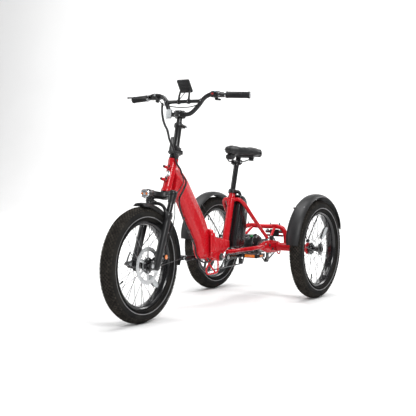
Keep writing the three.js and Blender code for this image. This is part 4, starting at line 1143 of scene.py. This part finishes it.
def bar_cables():
    """The loom from the bar to the stem foot, with the hoses and leads that join it at the bar."""
    b = Build()
    knots = ((-124, -240, 1060), (-116, -254, 1020), (-92, -278, 976), (-56, -312, 944), (-20, -345, 922),
             (2, -366, 900), (22, -383, 870), (26, -363, 838))
    route = smooth_line(knots, 8)
    first, second = (min(range(len(route)), key=lambda i: (route[i] - Vector(knots[k])).length)
                     for k in (2, 4))
    corrugated(b, route[:first + 1], 6.0, PLASTIC)
    for side, end in ((-1, (-124, -243, 1052)), (1, (96, -243, 1046))):
        b.tube([(side * 188, -246, 1104), (side * 168, -258, 1098), (side * 140, -262, 1082),
                (side * 126, -252, 1064), end], 2.3, PLASTIC, 14, 4)
    b.tube([(96, -243, 1046), (60, -250, 1036), (0, -254, 1034), (-60, -252, 1040), (-118, -244, 1052)],
           2.6, PLASTIC, 14, 5)
    b.tube([(0, -214, 1114), (-6, -236, 1090), (-30, -250, 1062), (-80, -250, 1052), (-120, -246, 1048)],
           2.0, PLASTIC, 12, 5)
    b.done("handlebar_cable_loom", "bars", "loom_bars")
    slack("bar_cable_slack", route[first:second + 1], 6.0, True)
    slack("stem_cable_slack", route[second:], 6.0, True)


for make in (stem_foot, steering_cables, stem_mast, bar_post, handlebar, controls, display_unit, bar_cables):
    make()


# ---------------------------------------------------------------- rear half of the frame

AXLE_PLATE = rounded([(392, 274), (430, 262), (470, 250), (556, 245), (596, 246), (616, 262), (618, 284),
                      (606, 304), (584, 309), (556, 312), (520, 320), (440, 317), (392, 304)], 10, 4)
AXLE_PLATE_HOLES = [circle2(REAR_AXLE, 14.4, 32), circle2((424, 289), 8, 24), circle2((560, 290), 5, 20)]


def centre_frame():
    """The welded junction behind the fold, the seat tube, the crank shell and the crank's guard loop."""
    junction = rounded([(FOLD_Y + 0.4, 257), (50, 246), (94, 243), (112, 264), (150, 291), (180, 300),
                        (176, 342), (150, 344), (92, 351), (48, 363), (14, 392), (FOLD_Y + 0.4, 408)], 9, 4)
    plate("frame_junction", [junction], 53.6, 0, "rear_frame", RED, 8, "main_beam", rings=4)
    b = Build()
    fold_face(b, ((FOLD_Y + 0.5, -1.4), (FOLD_Y + 2.2, 0), (0.2, 0), (1.8, -1.4)))
    for low, high in ((268.4, 304.2), (361.8, 397.6)):
        b.rod((-45, FOLD_Y, low), (-45, FOLD_Y, high), 9, RED, 32, 1.4)
        b.block((-37, FOLD_Y + 5.2, (low + high) / 2), (16, 9.4, high - low), RED, 1.5)
    b.lathe(seat(0, 0, -4), seat(0, 0, 316), [(0, 17), (3, 18), (316, 18), (318.5, 17.6), (320, 16)], RED, 48)
    b.lathe((-34, *CRANK), (34, *CRANK), [(0, 20.6), (1.4, 22), (66.6, 22), (68, 20.6)], RED, 44)
    b.tube([(24, y, z) for y, z in ((6, 252), (-20, 236), (-54, 200), (-44, 179), (8, 175), (50, 178),
                                    (59, 192), (59, 248))], 4.5, RED, 18, 4)
    b.tube([(-20, 6, 252), (0, 18, 218), (24, 34, 178)], 4.5, RED, 18, 4)
    b.tube([(0, 178, 342), (0, 168, 332), (0, 156, 322)], 7, RED, 18, 3)
    for height in (30, 160, 286):
        b.lathe(seat(0, 14, height), seat(0, 20.4, height), [(0, 6.4), (4.6, 6.4), (6.4, 5)], RED, 24)
    b.tube(seat.all([(0, -15, 262), (0, -27, 268), (-2, -36, 254), (-2, -34, 236), (0, -25, 228),
                     (0, -16, 232)]), 2.6, RED, 14, 2.5)
    b.done("seat_tube_and_crank_shell", "rear_frame")
    b = Build()
    b.rod((-45, FOLD_Y, 264), (-45, FOLD_Y, 402), 4.7, DARK)
    for z, sign in ((403, 1), (263, -1)):
        b.lathe((-45, FOLD_Y, z), (-45, FOLD_Y, z + sign * 4),
                [(-1, 7), (0.4, 7.6), (3, 7.2), (4, 5), (4.2, 0.4)], DARK, 28)
    for side in BOTH:
        b.lathe((side * 34, *CRANK), (side * 40, *CRANK), [(0, 21), (3, 21), (4.6, 19), (5.4, 13),
                                                           (5.0, 10)], DARK, 44)
        b.bolt((side * 28.5, -6, 270), (side, 0, 0), 2.8, 1.6)
    b.done("fold_pin_and_crank_cups", "rear_frame")


def stays(side, sign):
    """One side's axle plate with its bolts, and the two tubes that carry it."""
    def across(points):
        return [(sign * x, y, z) for x, y, z in points]
    plate(f"{side}_axle_plate", [AXLE_PLATE, *AXLE_PLATE_HOLES], 8.6, sign * 95.5, "rear_frame", RED, 1.3,
          f"{side}_chainstay", rings=2)
    b = Build()
    b.tube(across([(31, 142, 279), (43, 190, 279), (54, 258, 281), (84, 335, 285), (94, 402, 289),
                   (94.5, 436, 290)]), 11, RED, 26, 5, [11.5, 11, 11, 11, 10.5, 6])
    b.tube(across([(38, 176, 281), (40, 186, 290), (41, 190, 279)]), 3, RED, 12, 3)
    b.done(f"{side}_chainstay_tube", "rear_frame")
    b = Build()
    b.tube(across([(15, 232, 556), (28, 238, 559), (44, 242, 557), (60, 257, 541), (76, 340, 456),
                   (94, 470, 335)]), 10.5, RED, 26, 5, [10.5, 10.5, 10.5, 10.5, 10.5, 9])
    b.done(f"{side}_seatstay_tube", "rear_frame", f"{side}_seatstay")
    b = Build()
    for y, z, radius, height, material in ((494, 291, 6.4, 4.4, DARK), (529, 268, 6.4, 4.4, DARK),
                                           (448, 300, 4.0, 2.6, STEEL)):
        b.bolt((sign * 100.2, y, z), (sign, 0, 0), radius, height, material)
    b.lathe((sign * 91, 520, 331), (sign * 106, 520, 331), [(0, 12), (1.5, 14), (11, 14), (13, 12.4),
                                                            (13.2, 6)], PLASTIC, 32)
    b.tube(across([(98, 588, 244), (98, 600, 232), (98, 616, 236), (98, 622, 252)]), 4, RED, 16, 3)
    b.rod((sign * 56.8, 474, 272), (sign * 70, 474, 272), 9, STEEL, 6, 1.4)
    b.rod((sign * 52, 474, 272), (sign * 57, 474, 272), 12, STEEL, 32, 0.8)
    b.done(f"{side}_plate_bolts", "rear_frame")


ARCH_X, ARCH_TOP, ARCH_Y = 142, 388, AXLE_Y + 12


def axle_housing():
    """The crossed axle housing and the arch above it, with its studs for a carrier."""
    b = Build()
    for side in BOTH:
        b.lathe((side * 100.5, *REAR_AXLE), (side * 300, *REAR_AXLE),
                [(0, 25), (1, 27), (7, 27), (9, 24), (11, 23), (182, 23), (185, 24), (187, 31.6),
                 (188.6, 33), (197.6, 33), (199, 31.6), (199.5, 22)], RED, 56)
        b.tube([(side * 74, AXLE_Y + 8, ARCH_TOP - 4), (side * 81, 559, 359), (side * 88, 524, 335)], 8,
               RED, 22, 5)
        b.tube([(side * 75, AXLE_Y - 1, 397), (side * 75, AXLE_Y + 12, 399), (side * 75, AXLE_Y + 25, 397)],
               5, RED, 18, 3)
        b.block((side * 75, ARCH_Y, ARCH_TOP + 10), (28, 28, 12), RED, 1.6)
        b.block((side * 142, AXLE_Y + 4, 262), (16, 34, 12), RED, 2)
    half = [(ARCH_X - 40, ARCH_TOP), (ARCH_X - 14, ARCH_TOP - 10), (ARCH_X, 345), (ARCH_X + 4, 286)]
    b.tube([(-x, ARCH_Y, z) for x, z in half[::-1]] + [(0, ARCH_Y, ARCH_TOP)]
           + [(x, ARCH_Y, z) for x, z in half], 12.6, RED, 30, 5)
    b.done("axle_housing_and_arch", "rear_frame", "axle_housing")
    b = Build()
    for side in BOTH:
        for x in (side * 104, side * 46):
            b.rod((x, ARCH_Y, ARCH_TOP + 8), (x, ARCH_Y, ARCH_TOP + 23.6), 3.2, DARK, 18)
            b.lathe((x, ARCH_Y, ARCH_TOP + 10), (x, ARCH_Y, ARCH_TOP + 16),
                    [(0, 5), (0.6, 6.2), (5, 6.2), (6, 5)], DARK, 6)
        b.lathe((side * 300.3, *REAR_AXLE), (side * 301.4, *REAR_AXLE), [(-1, 20), (0, 21), (0.6, 20)],
                PLASTIC)
    b.done("carrier_studs", "rear_frame")


def tail_light():
    b = Build()
    for x, y, z, size, material, edge in (
            (63, 27.5, 352, (58, 7, 40), PLASTIC, 2), (63, 32, 358, (122, 10, 16), PLASTIC, 3),
            (63, 38, 358, (114, 3.6, 11.6), TAIL, 1.4), (63, 26.6, 358, (110, 2.2, 9), TAIL, 0.8),
            (63, 26.8, 336, (100, 2.2, 7), TAIL, 0.8), (63, 31, 336, (110, 8, 12), PLASTIC, 2.5),
            (63, 36.6, 336, (104, 5, 8.6), TAIL, 1.4)):
        b.block((x, AXLE_Y + y, z), size, material, edge)
    for x in (20, 106):
        b.block((x, AXLE_Y + 24.4, 366), (12, 6, 14), DARK, 1.2)
        b.bolt((x, AXLE_Y + 21, 366), (0, -1, 0), 3, 1.4, STEEL)
    b.done("tail_light_bar", "rear_frame", "rear_light")


def rear_fender(side, sign):
    """A rear mudguard on a bracket, with two stays and the four rivets that hold them."""
    half, radius = 41, 297
    centre = (sign * REAR_WHEEL_X, AXLE_Y - 12, WHEEL_RADIUS + 10)
    b = bent_fender(centre, radius, half, 17.3, 173.5, 6)
    x, foot = REAR_WHEEL_X, (AXLE_Y, WHEEL_RADIUS + 42)
    b.block((sign * (x - 51), *foot), (13, 23, 15.4), PLASTIC, 2)
    for angle in (radians(50), radians(128)):
        end = around(sign * (x - half), centre[1:], 288, angle)
        b.tube([(sign * (x - 50), *foot), (sign * (x - 51), (foot[0] + end.y) / 2, (foot[1] + end.z) / 2),
                end], 3.2, PLASTIC, 16, 10)
        inward = Vector((sign, 0, 0))
        b.lathe(end + inward * 2, end - inward * 5, [(0, 5), (5, 5), (6.4, 3.6), (6.8, 0.5)], DARK, 20)
    for angle in (radians(50), radians(128)):
        for dx in (-22, 22):
            p = around(centre[0] + dx, centre[1:], radius + 2 - fender_drop(dx / half), angle)
            out = Vector((0, cos(angle), sin(angle)))
            b.lathe(p - out, p + out * 1.6, [(0, 4.4), (1.4, 4.4), (2.4, 3.2), (2.6, 0.4)], DARK, 18)
    b.done(f"{side}_fender_and_stays", "rear_frame", f"{side}_fender")


centre_frame()
for side, sign in SIDES:
    stays(side, sign)
axle_housing()
tail_light()
for side, sign in SIDES:
    rear_fender(side, sign)


# ---------------------------------------------------------------- seat post, saddle, battery

TUBE_TOP = 316
POST_TOP = 474


def seat_clamp():
    b = Build()
    b.lathe(seat(0, 0, TUBE_TOP - 16), seat(0, 0, TUBE_TOP + 6), [
        (0, 18.6), (0.2, 22.4), (1.4, 23.6), (15, 23.6), (16.4, 22.6), (17.6, 23.2), (20, 23.2), (21.6, 21.6),
        (22, 16), (20.6, 15.2)], BLACK, 52)
    b.block((28, 0, TUBE_TOP - 5), (13, 15, 17), BLACK, 2, seat)
    b.block((28, -0.2, TUBE_TOP - 5), (14, 1.6, 17.6), DARK, 0.4, seat)
    b.bolt(seat(28, 7.4, TUBE_TOP - 5), -seat.ahead, 4.2, 2.0, STEEL)
    b.done("seat_clamp_collar", "rear_frame", "seat_clamp")
    b = Build()
    b.rod(seat(39.5, 0, TUBE_TOP - 12.6), seat(39.5, 0, TUBE_TOP + 0.6), 5.9, BLACK, 28)
    b.tube([seat(x, y, TUBE_TOP - 6) for x, y in ((39, 0), (39.5, -18), (40, -38), (38.5, -57))], 4.4,
           BLACK, 22, 4, [5.4, 4.4, 5.2, 3.2], 0.66)
    b.done("seat_clamp_lever", "seat_lever", "seat_lever")


def seat_post():
    b = Build()
    b.lathe(seat(0, 0, 150), seat(0, 0, POST_TOP), [(0, 13.4), (1, 14.4), (296, 14.4), (302, 15.2), (312, 16),
                                                    (324, 15)], GLOSS, 44)
    head = seat(0, 0, POST_TOP)
    b.rod(head + Vector((-24, 0, 0)), head + Vector((24, 0, 0)), 12.4, BLACK, 36, 2)
    for side in BOTH:
        b.block(head + Vector((side * 21, 0, 6)), (14, 34, 20), BLACK, 3)
        b.bolt(head + Vector((side * 27, 0, 1)), (side, 0, 0), 5.2, 2.4, STEEL)
        b.tube([head + Vector((side * x, y, z)) for x, y, z in ((8, -88, 30), (14, -72, 20), (21, -50, 11),
                                                                (21, 0, 9), (21, 42, 9), (31, 66, 15),
                                                                (42, 86, 25))], 3.5, DARK, 18, 4)
    b.block(head + Vector((0, 0, -2)), (60, 26, 8), BLACK, 2)
    b.done("seat_post_and_rails", "seatpost", "seatpost", "black_paint")


# Sections of the saddle from nose to tail: (y, half width, height of its top, height of its lower edge).
SADDLE = ((182, 9, 838, 823), (186, 16, 845, 816), (196, 21, 850, 808), (222, 24.5, 853, 803),
          (260, 33, 849, 802), (298, 52, 842, 802), (338, 79, 840, 798), (372, 93, 842, 789),
          (398, 94, 845, 785), (414, 86, 843, 787), (423, 72, 838, 793), (426, 60, 833, 800))
SADDLE_SECTIONS, SADDLE_SIDES = 72, 56
CHANNEL_WIDTH, CHANNEL_DEPTH = 9.0, 3.2
MOST_SWELL = 4.5


def eased(y, column):
    """A smooth value between the sections of the saddle."""
    for low, high in zip(SADDLE, SADDLE[1:]):
        if y <= high[0]:
            t = (y - low[0]) / (high[0] - low[0])
            t = t * t * (3 - 2 * t) * 0.5 + t * 0.5
            return low[column] + (high[column] - low[column]) * t
    return SADDLE[-1][column]


def saddle_rings(shrink):
    """The saddle's skin drawn in by shrink, with its centre channel and the tuck under its edge."""
    rings = []
    first, last = SADDLE[0][0], SADDLE[-1][0]
    for i in range(SADDLE_SECTIONS + 1):
        y = first + (last - first) * (0.5 - 0.5 * cos(pi * i / SADDLE_SECTIONS))
        half, top, bottom = eased(y, 1) - shrink, eased(y, 2) - shrink * 0.6, eased(y, 3) + shrink * 0.4
        waist = bottom + (top - bottom) * 0.52
        ring = []
        for angle in turns(SADDLE_SIDES):
            c, s = cos(angle), sin(angle)
            x = half * copysign(abs(c) ** 0.86, c)
            if s >= 0:
                channel = exp(-(x / CHANNEL_WIDTH) ** 2) * CHANNEL_DEPTH
                channel *= max(0.0, min(1.0, (y - 236) / 40)) * max(0.0, min(1.0, (424 - y) / 24))
                z = waist + (top - waist) * s ** 0.72 - channel * s ** 0.5 - 3.0 * max(0.0,
                        abs(x) / 95 - 0.55)
            else:
                z = waist - (waist - bottom) * abs(s) ** 0.62
                x *= 1 - 0.10 * s ** 2
            ring.append(Vector((x, y, z)))
        rings.append(ring)
    return rings


def padded_saddle():
    """The vinyl cover over its foam, swollen a little by a short cloth simulation."""
    b = Build()
    b.skin(saddle_rings(2.4), VINYL)
    cover = b.done("saddle_cover", "seatpost", "saddle", "vinyl", 60)
    swell(cover, MOST_SWELL)


def swell(piece, most):
    """Puffs a closed cover out by cloth pressure, letting no point move further than most millimetres."""
    scene = bpy.context.scene
    modifier = piece.modifiers.new("puff", "CLOTH")
    modifier.settings.use_pressure = True
    modifier.settings.uniform_pressure_force = 3.0
    modifier.settings.effector_weights.gravity = 0
    modifier.settings.quality = 6
    modifier.point_cache.frame_start, modifier.point_cache.frame_end = 1, 14
    for step in range(1, 13):
        scene.frame_set(step)
    swollen = piece.evaluated_get(bpy.context.evaluated_depsgraph_get()).to_mesh()
    moved = [v.co.copy() for v in swollen.vertices]
    piece.evaluated_get(bpy.context.evaluated_depsgraph_get()).to_mesh_clear()
    piece.modifiers.remove(modifier)
    for vertex, end in zip(piece.data.vertices, moved):
        move = end - vertex.co
        vertex.co += move if move.length <= most * MM else move.normalized() * most * MM
    piece.data.update()
    scene.frame_set(1)


def piping():
    """The stitched edge round the widest line of the saddle."""
    b = Build()
    edge = saddle_rings(0.2)[2:-1]
    b.tube([ring[0] for ring in edge] + [Vector((58, 427.4, 818)), Vector((0, 429, 820)),
                                         Vector((-58, 427.4, 818))]
           + [ring[SADDLE_SIDES // 2] for ring in reversed(edge)], 1.3, RUBBER, 10, 4)
    b.done("saddle_piping", "seatpost", slot="vinyl")


def rear_trim():
    """The glossy trim that wraps the back corners of the saddle, with two chrome studs at each side."""
    b = Build()
    half = [(30, 429), (56, 427.4), (73, 423.4), (86, 414), (93, 402), (94.5, 390)]
    path = smooth_line([(-x, y, 0) for x, y in half[::-1]] + [(0, 429.6, 0)] + [(x, y, 0) for x, y in half],
                       5)
    last = len(path) - 1
    rings = []
    for i, p in enumerate(path):
        t = (path[min(i + 1, last)] - path[max(i - 1, 0)]).normalized()
        out = Vector((t.y, -t.x, 0))
        tall = 22.5 * min(1.0, 0.35 + 3.4 * min(i, last - i) / last)
        rings.append([Vector((p.x, p.y, 812)) + out * (3.6 * cos(a)) + Vector((0, 0, tall * sin(a)))
                      for a in turns(28)])
    b.skin(rings, GLOSS)
    for side in BOTH:
        for x, y, nx, ny, z in ((90.5, 407.6, 0.9, 0.44, 822), (81, 419, 0.62, 0.78, 806)):
            p, n = Vector((side * x, y, z)), Vector((side * nx, ny, 0))
            b.lathe(p, p + n, [(0, 4.8), (3.0, 4.8), (4.6, 3.6), (5.2, 0.4)], CHROME, 24)
    b.done("saddle_rear_trim", "seatpost", slot="black_plastic")


def underside():
    """Rubber springs, the nose block and the bridge under the saddle."""
    b = Build()
    for side in BOTH:
        b.lathe((side * 42, 374, 770), (side * 42, 380, 800),
                [(0, 12), (1.2, 14.6), (6, 15), (9, 12.6), (12, 15), (17, 15), (20, 12.6), (23, 15),
                 (29, 15), (30, 12)], RUBBER, 32)
    b.block((0, 222, 791), (35, 50, 32), PLASTIC, 8)
    b.block((0, 378, 794), (108, 34, 12), PLASTIC, 4)
    b.tube([(-62, 360, 792), (-30, 330, 797), (0, 300, 800), (30, 330, 797), (62, 360, 792)], 9, PLASTIC,
           20, 5, [5, 9, 10, 9, 5], 0.5)
    b.done("saddle_underside", "seatpost", slot="black_plastic")


def battery_pack():
    outline = rounded([(23.9, 5), (80, 3), (128, 23), (137.6, 50), (122, 236), (96, 286), (66, 301.6),
                       (23.9, 301.6)], 13, 6)
    plate("battery_case", [outline], 89.4, 0, "battery", GLOSS, 10, "battery", seat, 5)
    b = Build()
    b.tube(seat.all([(0, 34, 296), (0, 36, 317), (0, 57, 327), (0, 84, 313), (0, 96, 284)]), 6, GLOSS, 22, 3,
           [7.5, 6, 5.6, 6, 7.5], 1.5)
    for side in BOTH:
        b.block((side * 44.7, 66, 150), (1.6, 1.4, 250), DARK, 0.4, seat)
    b.lathe(seat(44, 92, 222), seat(47.4, 92, 222), [(0, 9.4), (2.4, 9.4), (3.2, 8.6), (3.4, 3),
                                                     (2.6, 2.4)], STEEL, 32)
    b.lathe(seat(44, 96, 60), seat(46.4, 96, 60), [(0, 8), (1.6, 8), (2.4, 7), (2.5, 0.4)], RUBBER, 32)
    b.done("battery_handle_lock_and_port", "battery", slot="battery_pack")
    b = Build()
    b.block((0, 21.1, 145), (29.4, 4.4, 261), PLASTIC, 1.4, seat)
    b.block((0, 30, 3), (40, 22, 3.6), PLASTIC, 1.2, seat)
    for z in (30, 160, 262):
        b.bolt(seat(8, 21, z), -seat.ahead, 2.4, 0.6, STEEL)
    b.done("battery_rail_body", "rear_frame", "battery_rail")


for make in (seat_clamp, seat_post, padded_saddle, piping, rear_trim, underside, battery_pack):
    make()


# ---------------------------------------------------------------- drivetrain

LINK_PITCH = 12.7
JOCKEY, TENSIONER = (446, 196), (520, 206)


def toothed(centre, radius, count, depth):
    return [p for i in range(count) for share, r in ((-0.3, radius - depth), (-0.1, radius), (0.1, radius),
                                                     (0.3, radius - depth))
            for p in arc(centre, r, [TAU * (i + share) / count])]


def belt(wheels, extra):
    """The closed path of a chain pulled tight round some wheels, in even steps of half a pitch."""
    points = sorted(p for centre, r in wheels for p in circle2(centre, r + extra, 60))

    def half(run):
        out = []
        for p in run:
            while len(out) > 1 and ((out[-1][0] - out[-2][0]) * (p[1] - out[-2][1])
                                    - (out[-1][1] - out[-2][1]) * (p[0] - out[-2][0])) <= 0:
                out.pop()
            out.append(p)
        return out[:-1]
    hull = [Vector(p) for p in half(points) + half(points[::-1])]
    lengths = [(hull[(i + 1) % len(hull)] - p).length for i, p in enumerate(hull)]
    total = sum(lengths)
    count = 2 * round(total / LINK_PITCH)
    path, i, walked = [], 0, 0.0
    for k in range(count):
        goal = total * k / count
        while walked + lengths[i] < goal:
            walked += lengths[i]
            i += 1
        path.append(hull[i].lerp(hull[(i + 1) % len(hull)], (goal - walked) / lengths[i]))
    return path


def chain(name, x, wheels, node):
    """Outer and inner link plates in turn, with a pin at each joint."""
    b = Build()
    path = belt(wheels, 3.6)
    for i, p in enumerate(path):
        q = path[(i + 1) % len(path)]
        along = (q - p).normalized()
        across = Vector((-along.y, along.x))
        outline = []
        for centre, way in ((q, 1), (p, -1)):
            for t in (pi / 2, pi / 4, 0, -pi / 4, -pi / 2):
                outline.append(centre + (along * (cos(t) * way) + across * sin(t * way)) * 3.6)
        for side in BOTH:
            middle = x + side * (2.7 if i % 2 else 2.1)
            b.skin([[Vector((middle + dx, r.x, r.y)) for r in outline] for dx in (-0.42, 0.42)], DARK)
        b.rod((x - 3.4, p.x, p.y), (x + 3.4, p.x, p.y), 1.7, STEEL, 8, 0.3)
    return b.done(name, "rear_frame", node)


def motor_unit():
    """The hub motor with its ribbed shell, its sprocket and the three cogs of the cassette."""
    b = Build()
    rim_half = [(66, 27), (64.6, 29), (64.6, 31), (66, 33), (65.8, 37), (63, 42), (56, 46)]
    b.turned_x([(6, -68), (14, -68), (15, -66), (15, -52), (26, -50)] + mirror_profile(rim_half)
               + rim_half + [(30, 50), (18, 51), (18, 54), (6, 54)], BLACK, 96, (0, *MOTOR))
    for a in turns(20):
        b.rod(around(-25, MOTOR, 65.2, a), around(25, MOTOR, 65.2, a), 1.5, BLACK, 8, 0.4)
    for a in turns(8, 0.5):
        b.bolt(around(45.6, MOTOR, 55, a), (1, 0, 0), 2.6, 1.2, STEEL)
    b.rod((-69, *MOTOR), (71, *MOTOR), 6.4, STEEL, 28, 1)
    b.done("hub_motor_shell", "motor", "motor", "motor_shell")
    plate("motor_drive_sprocket", [toothed(MOTOR, 28.5, 13, 4.4), circle2(MOTOR, 9, 24)], 4, 58, "motor",
          STEEL, 0.4, ())
    for k, (radius, count) in enumerate(((37, 22), (33, 20), (30, 18))):
        plate(f"cassette_cog_{k + 1}", [toothed(MOTOR, radius + 1.4, count, 3.6), circle2(MOTOR, 18, 32)],
              1.9, -56.6 - 2.9 * k, "cassette", STEEL, 0.25, () if k else "cassette")


def rear_axle():
    """The driven sprocket on the axle, with the differential and its shaft."""
    holes = [circle2(p, 6, 20) for p in arc(REAR_AXLE, 34, turns(6))] + [circle2(REAR_AXLE, 13, 32)]
    plate("rear_axle_sprocket", [toothed(REAR_AXLE, 50, 24, 4.4), *holes], 4, 58, "axle_sprocket", STEEL, 0.4,
          "axle_sprocket")
    b = Build()
    b.turned_x([(6, -87), (10.6, -87), (10.6, -40), (22, -38), (24, -34), (36, -30), (39.4, -26), (40, -22),
                (40, 22), (39.4, 26), (36, 30), (26, 34), (24, 38), (24, 54), (12, 56), (10.6, 62),
                (10.6, 87), (6, 87)], DARK, 72, (0, *REAR_AXLE))
    for a in turns(8):
        b.bolt(around(30, REAR_AXLE, 31, a), (1, 0, 0), 2.8, 1.6, STEEL)
    b.done("differential_and_shaft", "axle_sprocket")


def idler(name, centre, radius, top, sign, node):
    """A jockey wheel in its cage, hung from a pivot on the axle plate, with its spring."""
    b = Build()
    y, z = centre
    b.lathe((sign * 55.2, y, z), (sign * 61, y, z), [(0, radius - 4), (1.4, radius - 2),
                                                     (2.9, radius + 0.6), (4.4, radius - 2),
                                                     (5.8, radius - 4)], PLASTIC, 36)
    b.rod((sign * 54, y, z), (sign * 74, y, z), 3.2, STEEL, 20)
    cage = rounded([(y - 12, z - 15), (y + 12, z - 15), (y + 14, z + 20), (y + 10, top), (y - 10, top),
                    (y - 14, z + 20)], 7, 4)
    b.skin([[Vector((sign * x, p, q)) for p, q in cage] for x in (66.2, 67, 71, 71.8)], DARK)
    b.rod((sign * 69, y, top - 6), (sign * 90.4, y, top - 6), 5.4, DARK, 26)
    b.lathe((sign * 71.6, y, top - 6), (sign * 78, y, top - 6), [(0, 9), (1, 10.4), (5, 10.4), (6.4, 9)],
            PLASTIC, 30)
    b.tube([(sign * 72, y + 4, top - 8), (sign * 78, y + 22, top - 22), (sign * 80, y + 30, top - 4),
            (sign * 84, y + 34, top + 14)], 2.2, PLASTIC, 14, 3)
    b.bolt((sign * 71.8, y, z), (sign, 0, 0), 2.6, 1.4, STEEL)
    b.done(name, "rear_frame", node, "dark_steel")


def motor_lead():
    b = Build()
    b.block((26, 410, 346), (14, 20, 11), GREEN_PLUG, 2)
    b.tube([(26, 402, 346), (24, 380, 350), (20, 350, 342), (16, 310, 318), (12, 270, 304)], 3.2, PLASTIC,
           16, 5)
    b.tube([(30, 420, 346), (36, 440, 354), (40, 452, 346)], 3.4, PLASTIC, 16, 4)
    b.done("motor_lead_connector", "rear_frame", slot="black_plastic")


def crank_arm(name, direction, node):
    """A crank arm seen from the side: wide at the axle, slim at the pedal."""
    y, z = CRANK
    end, middle = y + direction * PEDAL_REACH, y + direction * PEDAL_REACH / 2
    line = []
    for centre, r, first in ((y, 18.4, 90), (end, 12.2, -90)):
        for k in range(13):
            a = radians(first + 15 * k)
            line.append((centre + direction * r * cos(a), z + r * sin(a)))
    outline = line[:13] + [(middle - direction * 40, z - 13.6), (middle, z - 11.4)] + line[13:] + [
        (middle, z + 11.4), (middle - direction * 40, z + 13.6)]
    plate(name, [outline], 11.4, direction * 74, "crank", GLOSS, 3, node, rings=3)


def cranks():
    """Both crank arms, the chainring, the slotted guard ring, and the axle with its bolts."""
    y, z = CRANK
    crank_arm("right_crank_arm", -1, "right_crank")
    crank_arm("left_crank_arm", 1, "left_crank")
    windows = [rounded(arc(CRANK, 66, spread(m, 27, 8)) + arc(CRANK, 31, spread(m, 17, 4)[::-1]), 4, 2)
               for m in turns(5)]
    plate("chainring", [toothed(CRANK, 82, 40, 4.2), *windows], 3.4, -58, "crank", DARK, 0.3)
    slots = [rounded(arc(CRANK, 86.5, (m - 0.14, m + 0.14)) + arc(CRANK, 76, (m + 0.13, m - 0.13)), 2.5, 2)
             for m in turns(12)]
    plate("chain_guard_ring", [circle2(CRANK, 91.6, 96), *slots, circle2(CRANK, 66, 72)], 2.2, -64, "crank",
          PLASTIC)
    b = Build()
    b.rod((-79, y, z), (-57, y, z), 17.6, GLOSS, 44, 2)
    for sign in BOTH:
        b.rod((sign * 40, y, z), (sign * 70, y, z), 8.6, STEEL, 28)
        b.lathe((sign * 79.4, y, z), (sign * 82.4, y, z), [(0, 10.6), (1.6, 10.6), (2.8, 9.4), (2.9, 4),
                                                           (1, 3.6)], STEEL, 32)
        end = y + sign * PEDAL_REACH
        b.rod((sign * 70, end, z), (sign * 184, end, z), 5.3, STEEL)
        b.lathe((sign * 79.6, end, z), (sign * 88.4, end, z), [(0, 9), (0.6, 9.4), (6, 9.4), (7, 7)], STEEL,
                6)
    b.rod((-42, y, z), (42, y, z), 8.6, STEEL)
    for m in turns(5, 0.5):
        b.bolt(around(-65.4, CRANK, 71, m), (-1, 0, 0), 3.4, 1.2, STEEL)
        b.bolt(around(-60, CRANK, 71, m), (-1, 0, 0), 2.6, 3.4, STEEL)
    b.done("crank_axle_and_bolts", "crank", slot="steel")


def pedal(side, sign):
    b = Build()

    def at(x, dy, dz):
        return Vector((sign * x, CRANK[0] + sign * PEDAL_REACH + dy, CRANK[1] + dz))
    b.lathe(at(90.6, 0, 0), at(183, 0, 0), [(0, 10), (1, 11), (12, 11), (16, 9), (76, 9), (80, 10.6),
                                            (90, 10.6), (92, 9), (92.2, 6)], PLASTIC, 32)
    for dy in BOTH:
        b.block((137, dy * 40, 0), (90, 8, 22), PLASTIC, 2.5, at)
        b.block((137, dy * 44.6, 0), (60, 2.6, 15), AMBER, 0.9, at)
    for x in (97, 124, 150, 178):
        b.block((x, 0, 0), (7, 76, 19), PLASTIC, 1.8, at)
    for x in (96, 178):
        for dy in (-30, -18, 18, 30):
            for top in BOTH:
                b.lathe(at(x, dy, top * 9), at(x, dy, top * 12), [(0, 2.2), (2.2, 2.2), (2.8, 1.6)], STEEL,
                        12)
    b.block((184, 0, 0), (2, 30, 10), AMBER, 0.6, at)
    b.done(f"{side}_platform_pedal", f"{side}_pedal", f"{side}_pedal")


chain("pedal_chain", -58, [(CRANK, 80), (MOTOR, 37), (JOCKEY, 12)], "crank_chain")
chain("drive_chain", 58, [(MOTOR, 26), (REAR_AXLE, 48), (TENSIONER, 11)], "axle_chain")
motor_unit()
rear_axle()
idler("gear_changer", JOCKEY, 12, 266, -1, "derailleur")
idler("drive_chain_tensioner", TENSIONER, 11, 264, 1, "chain_tensioner")
motor_lead()
cranks()
for side, sign in SIDES:
    pedal(side, sign)
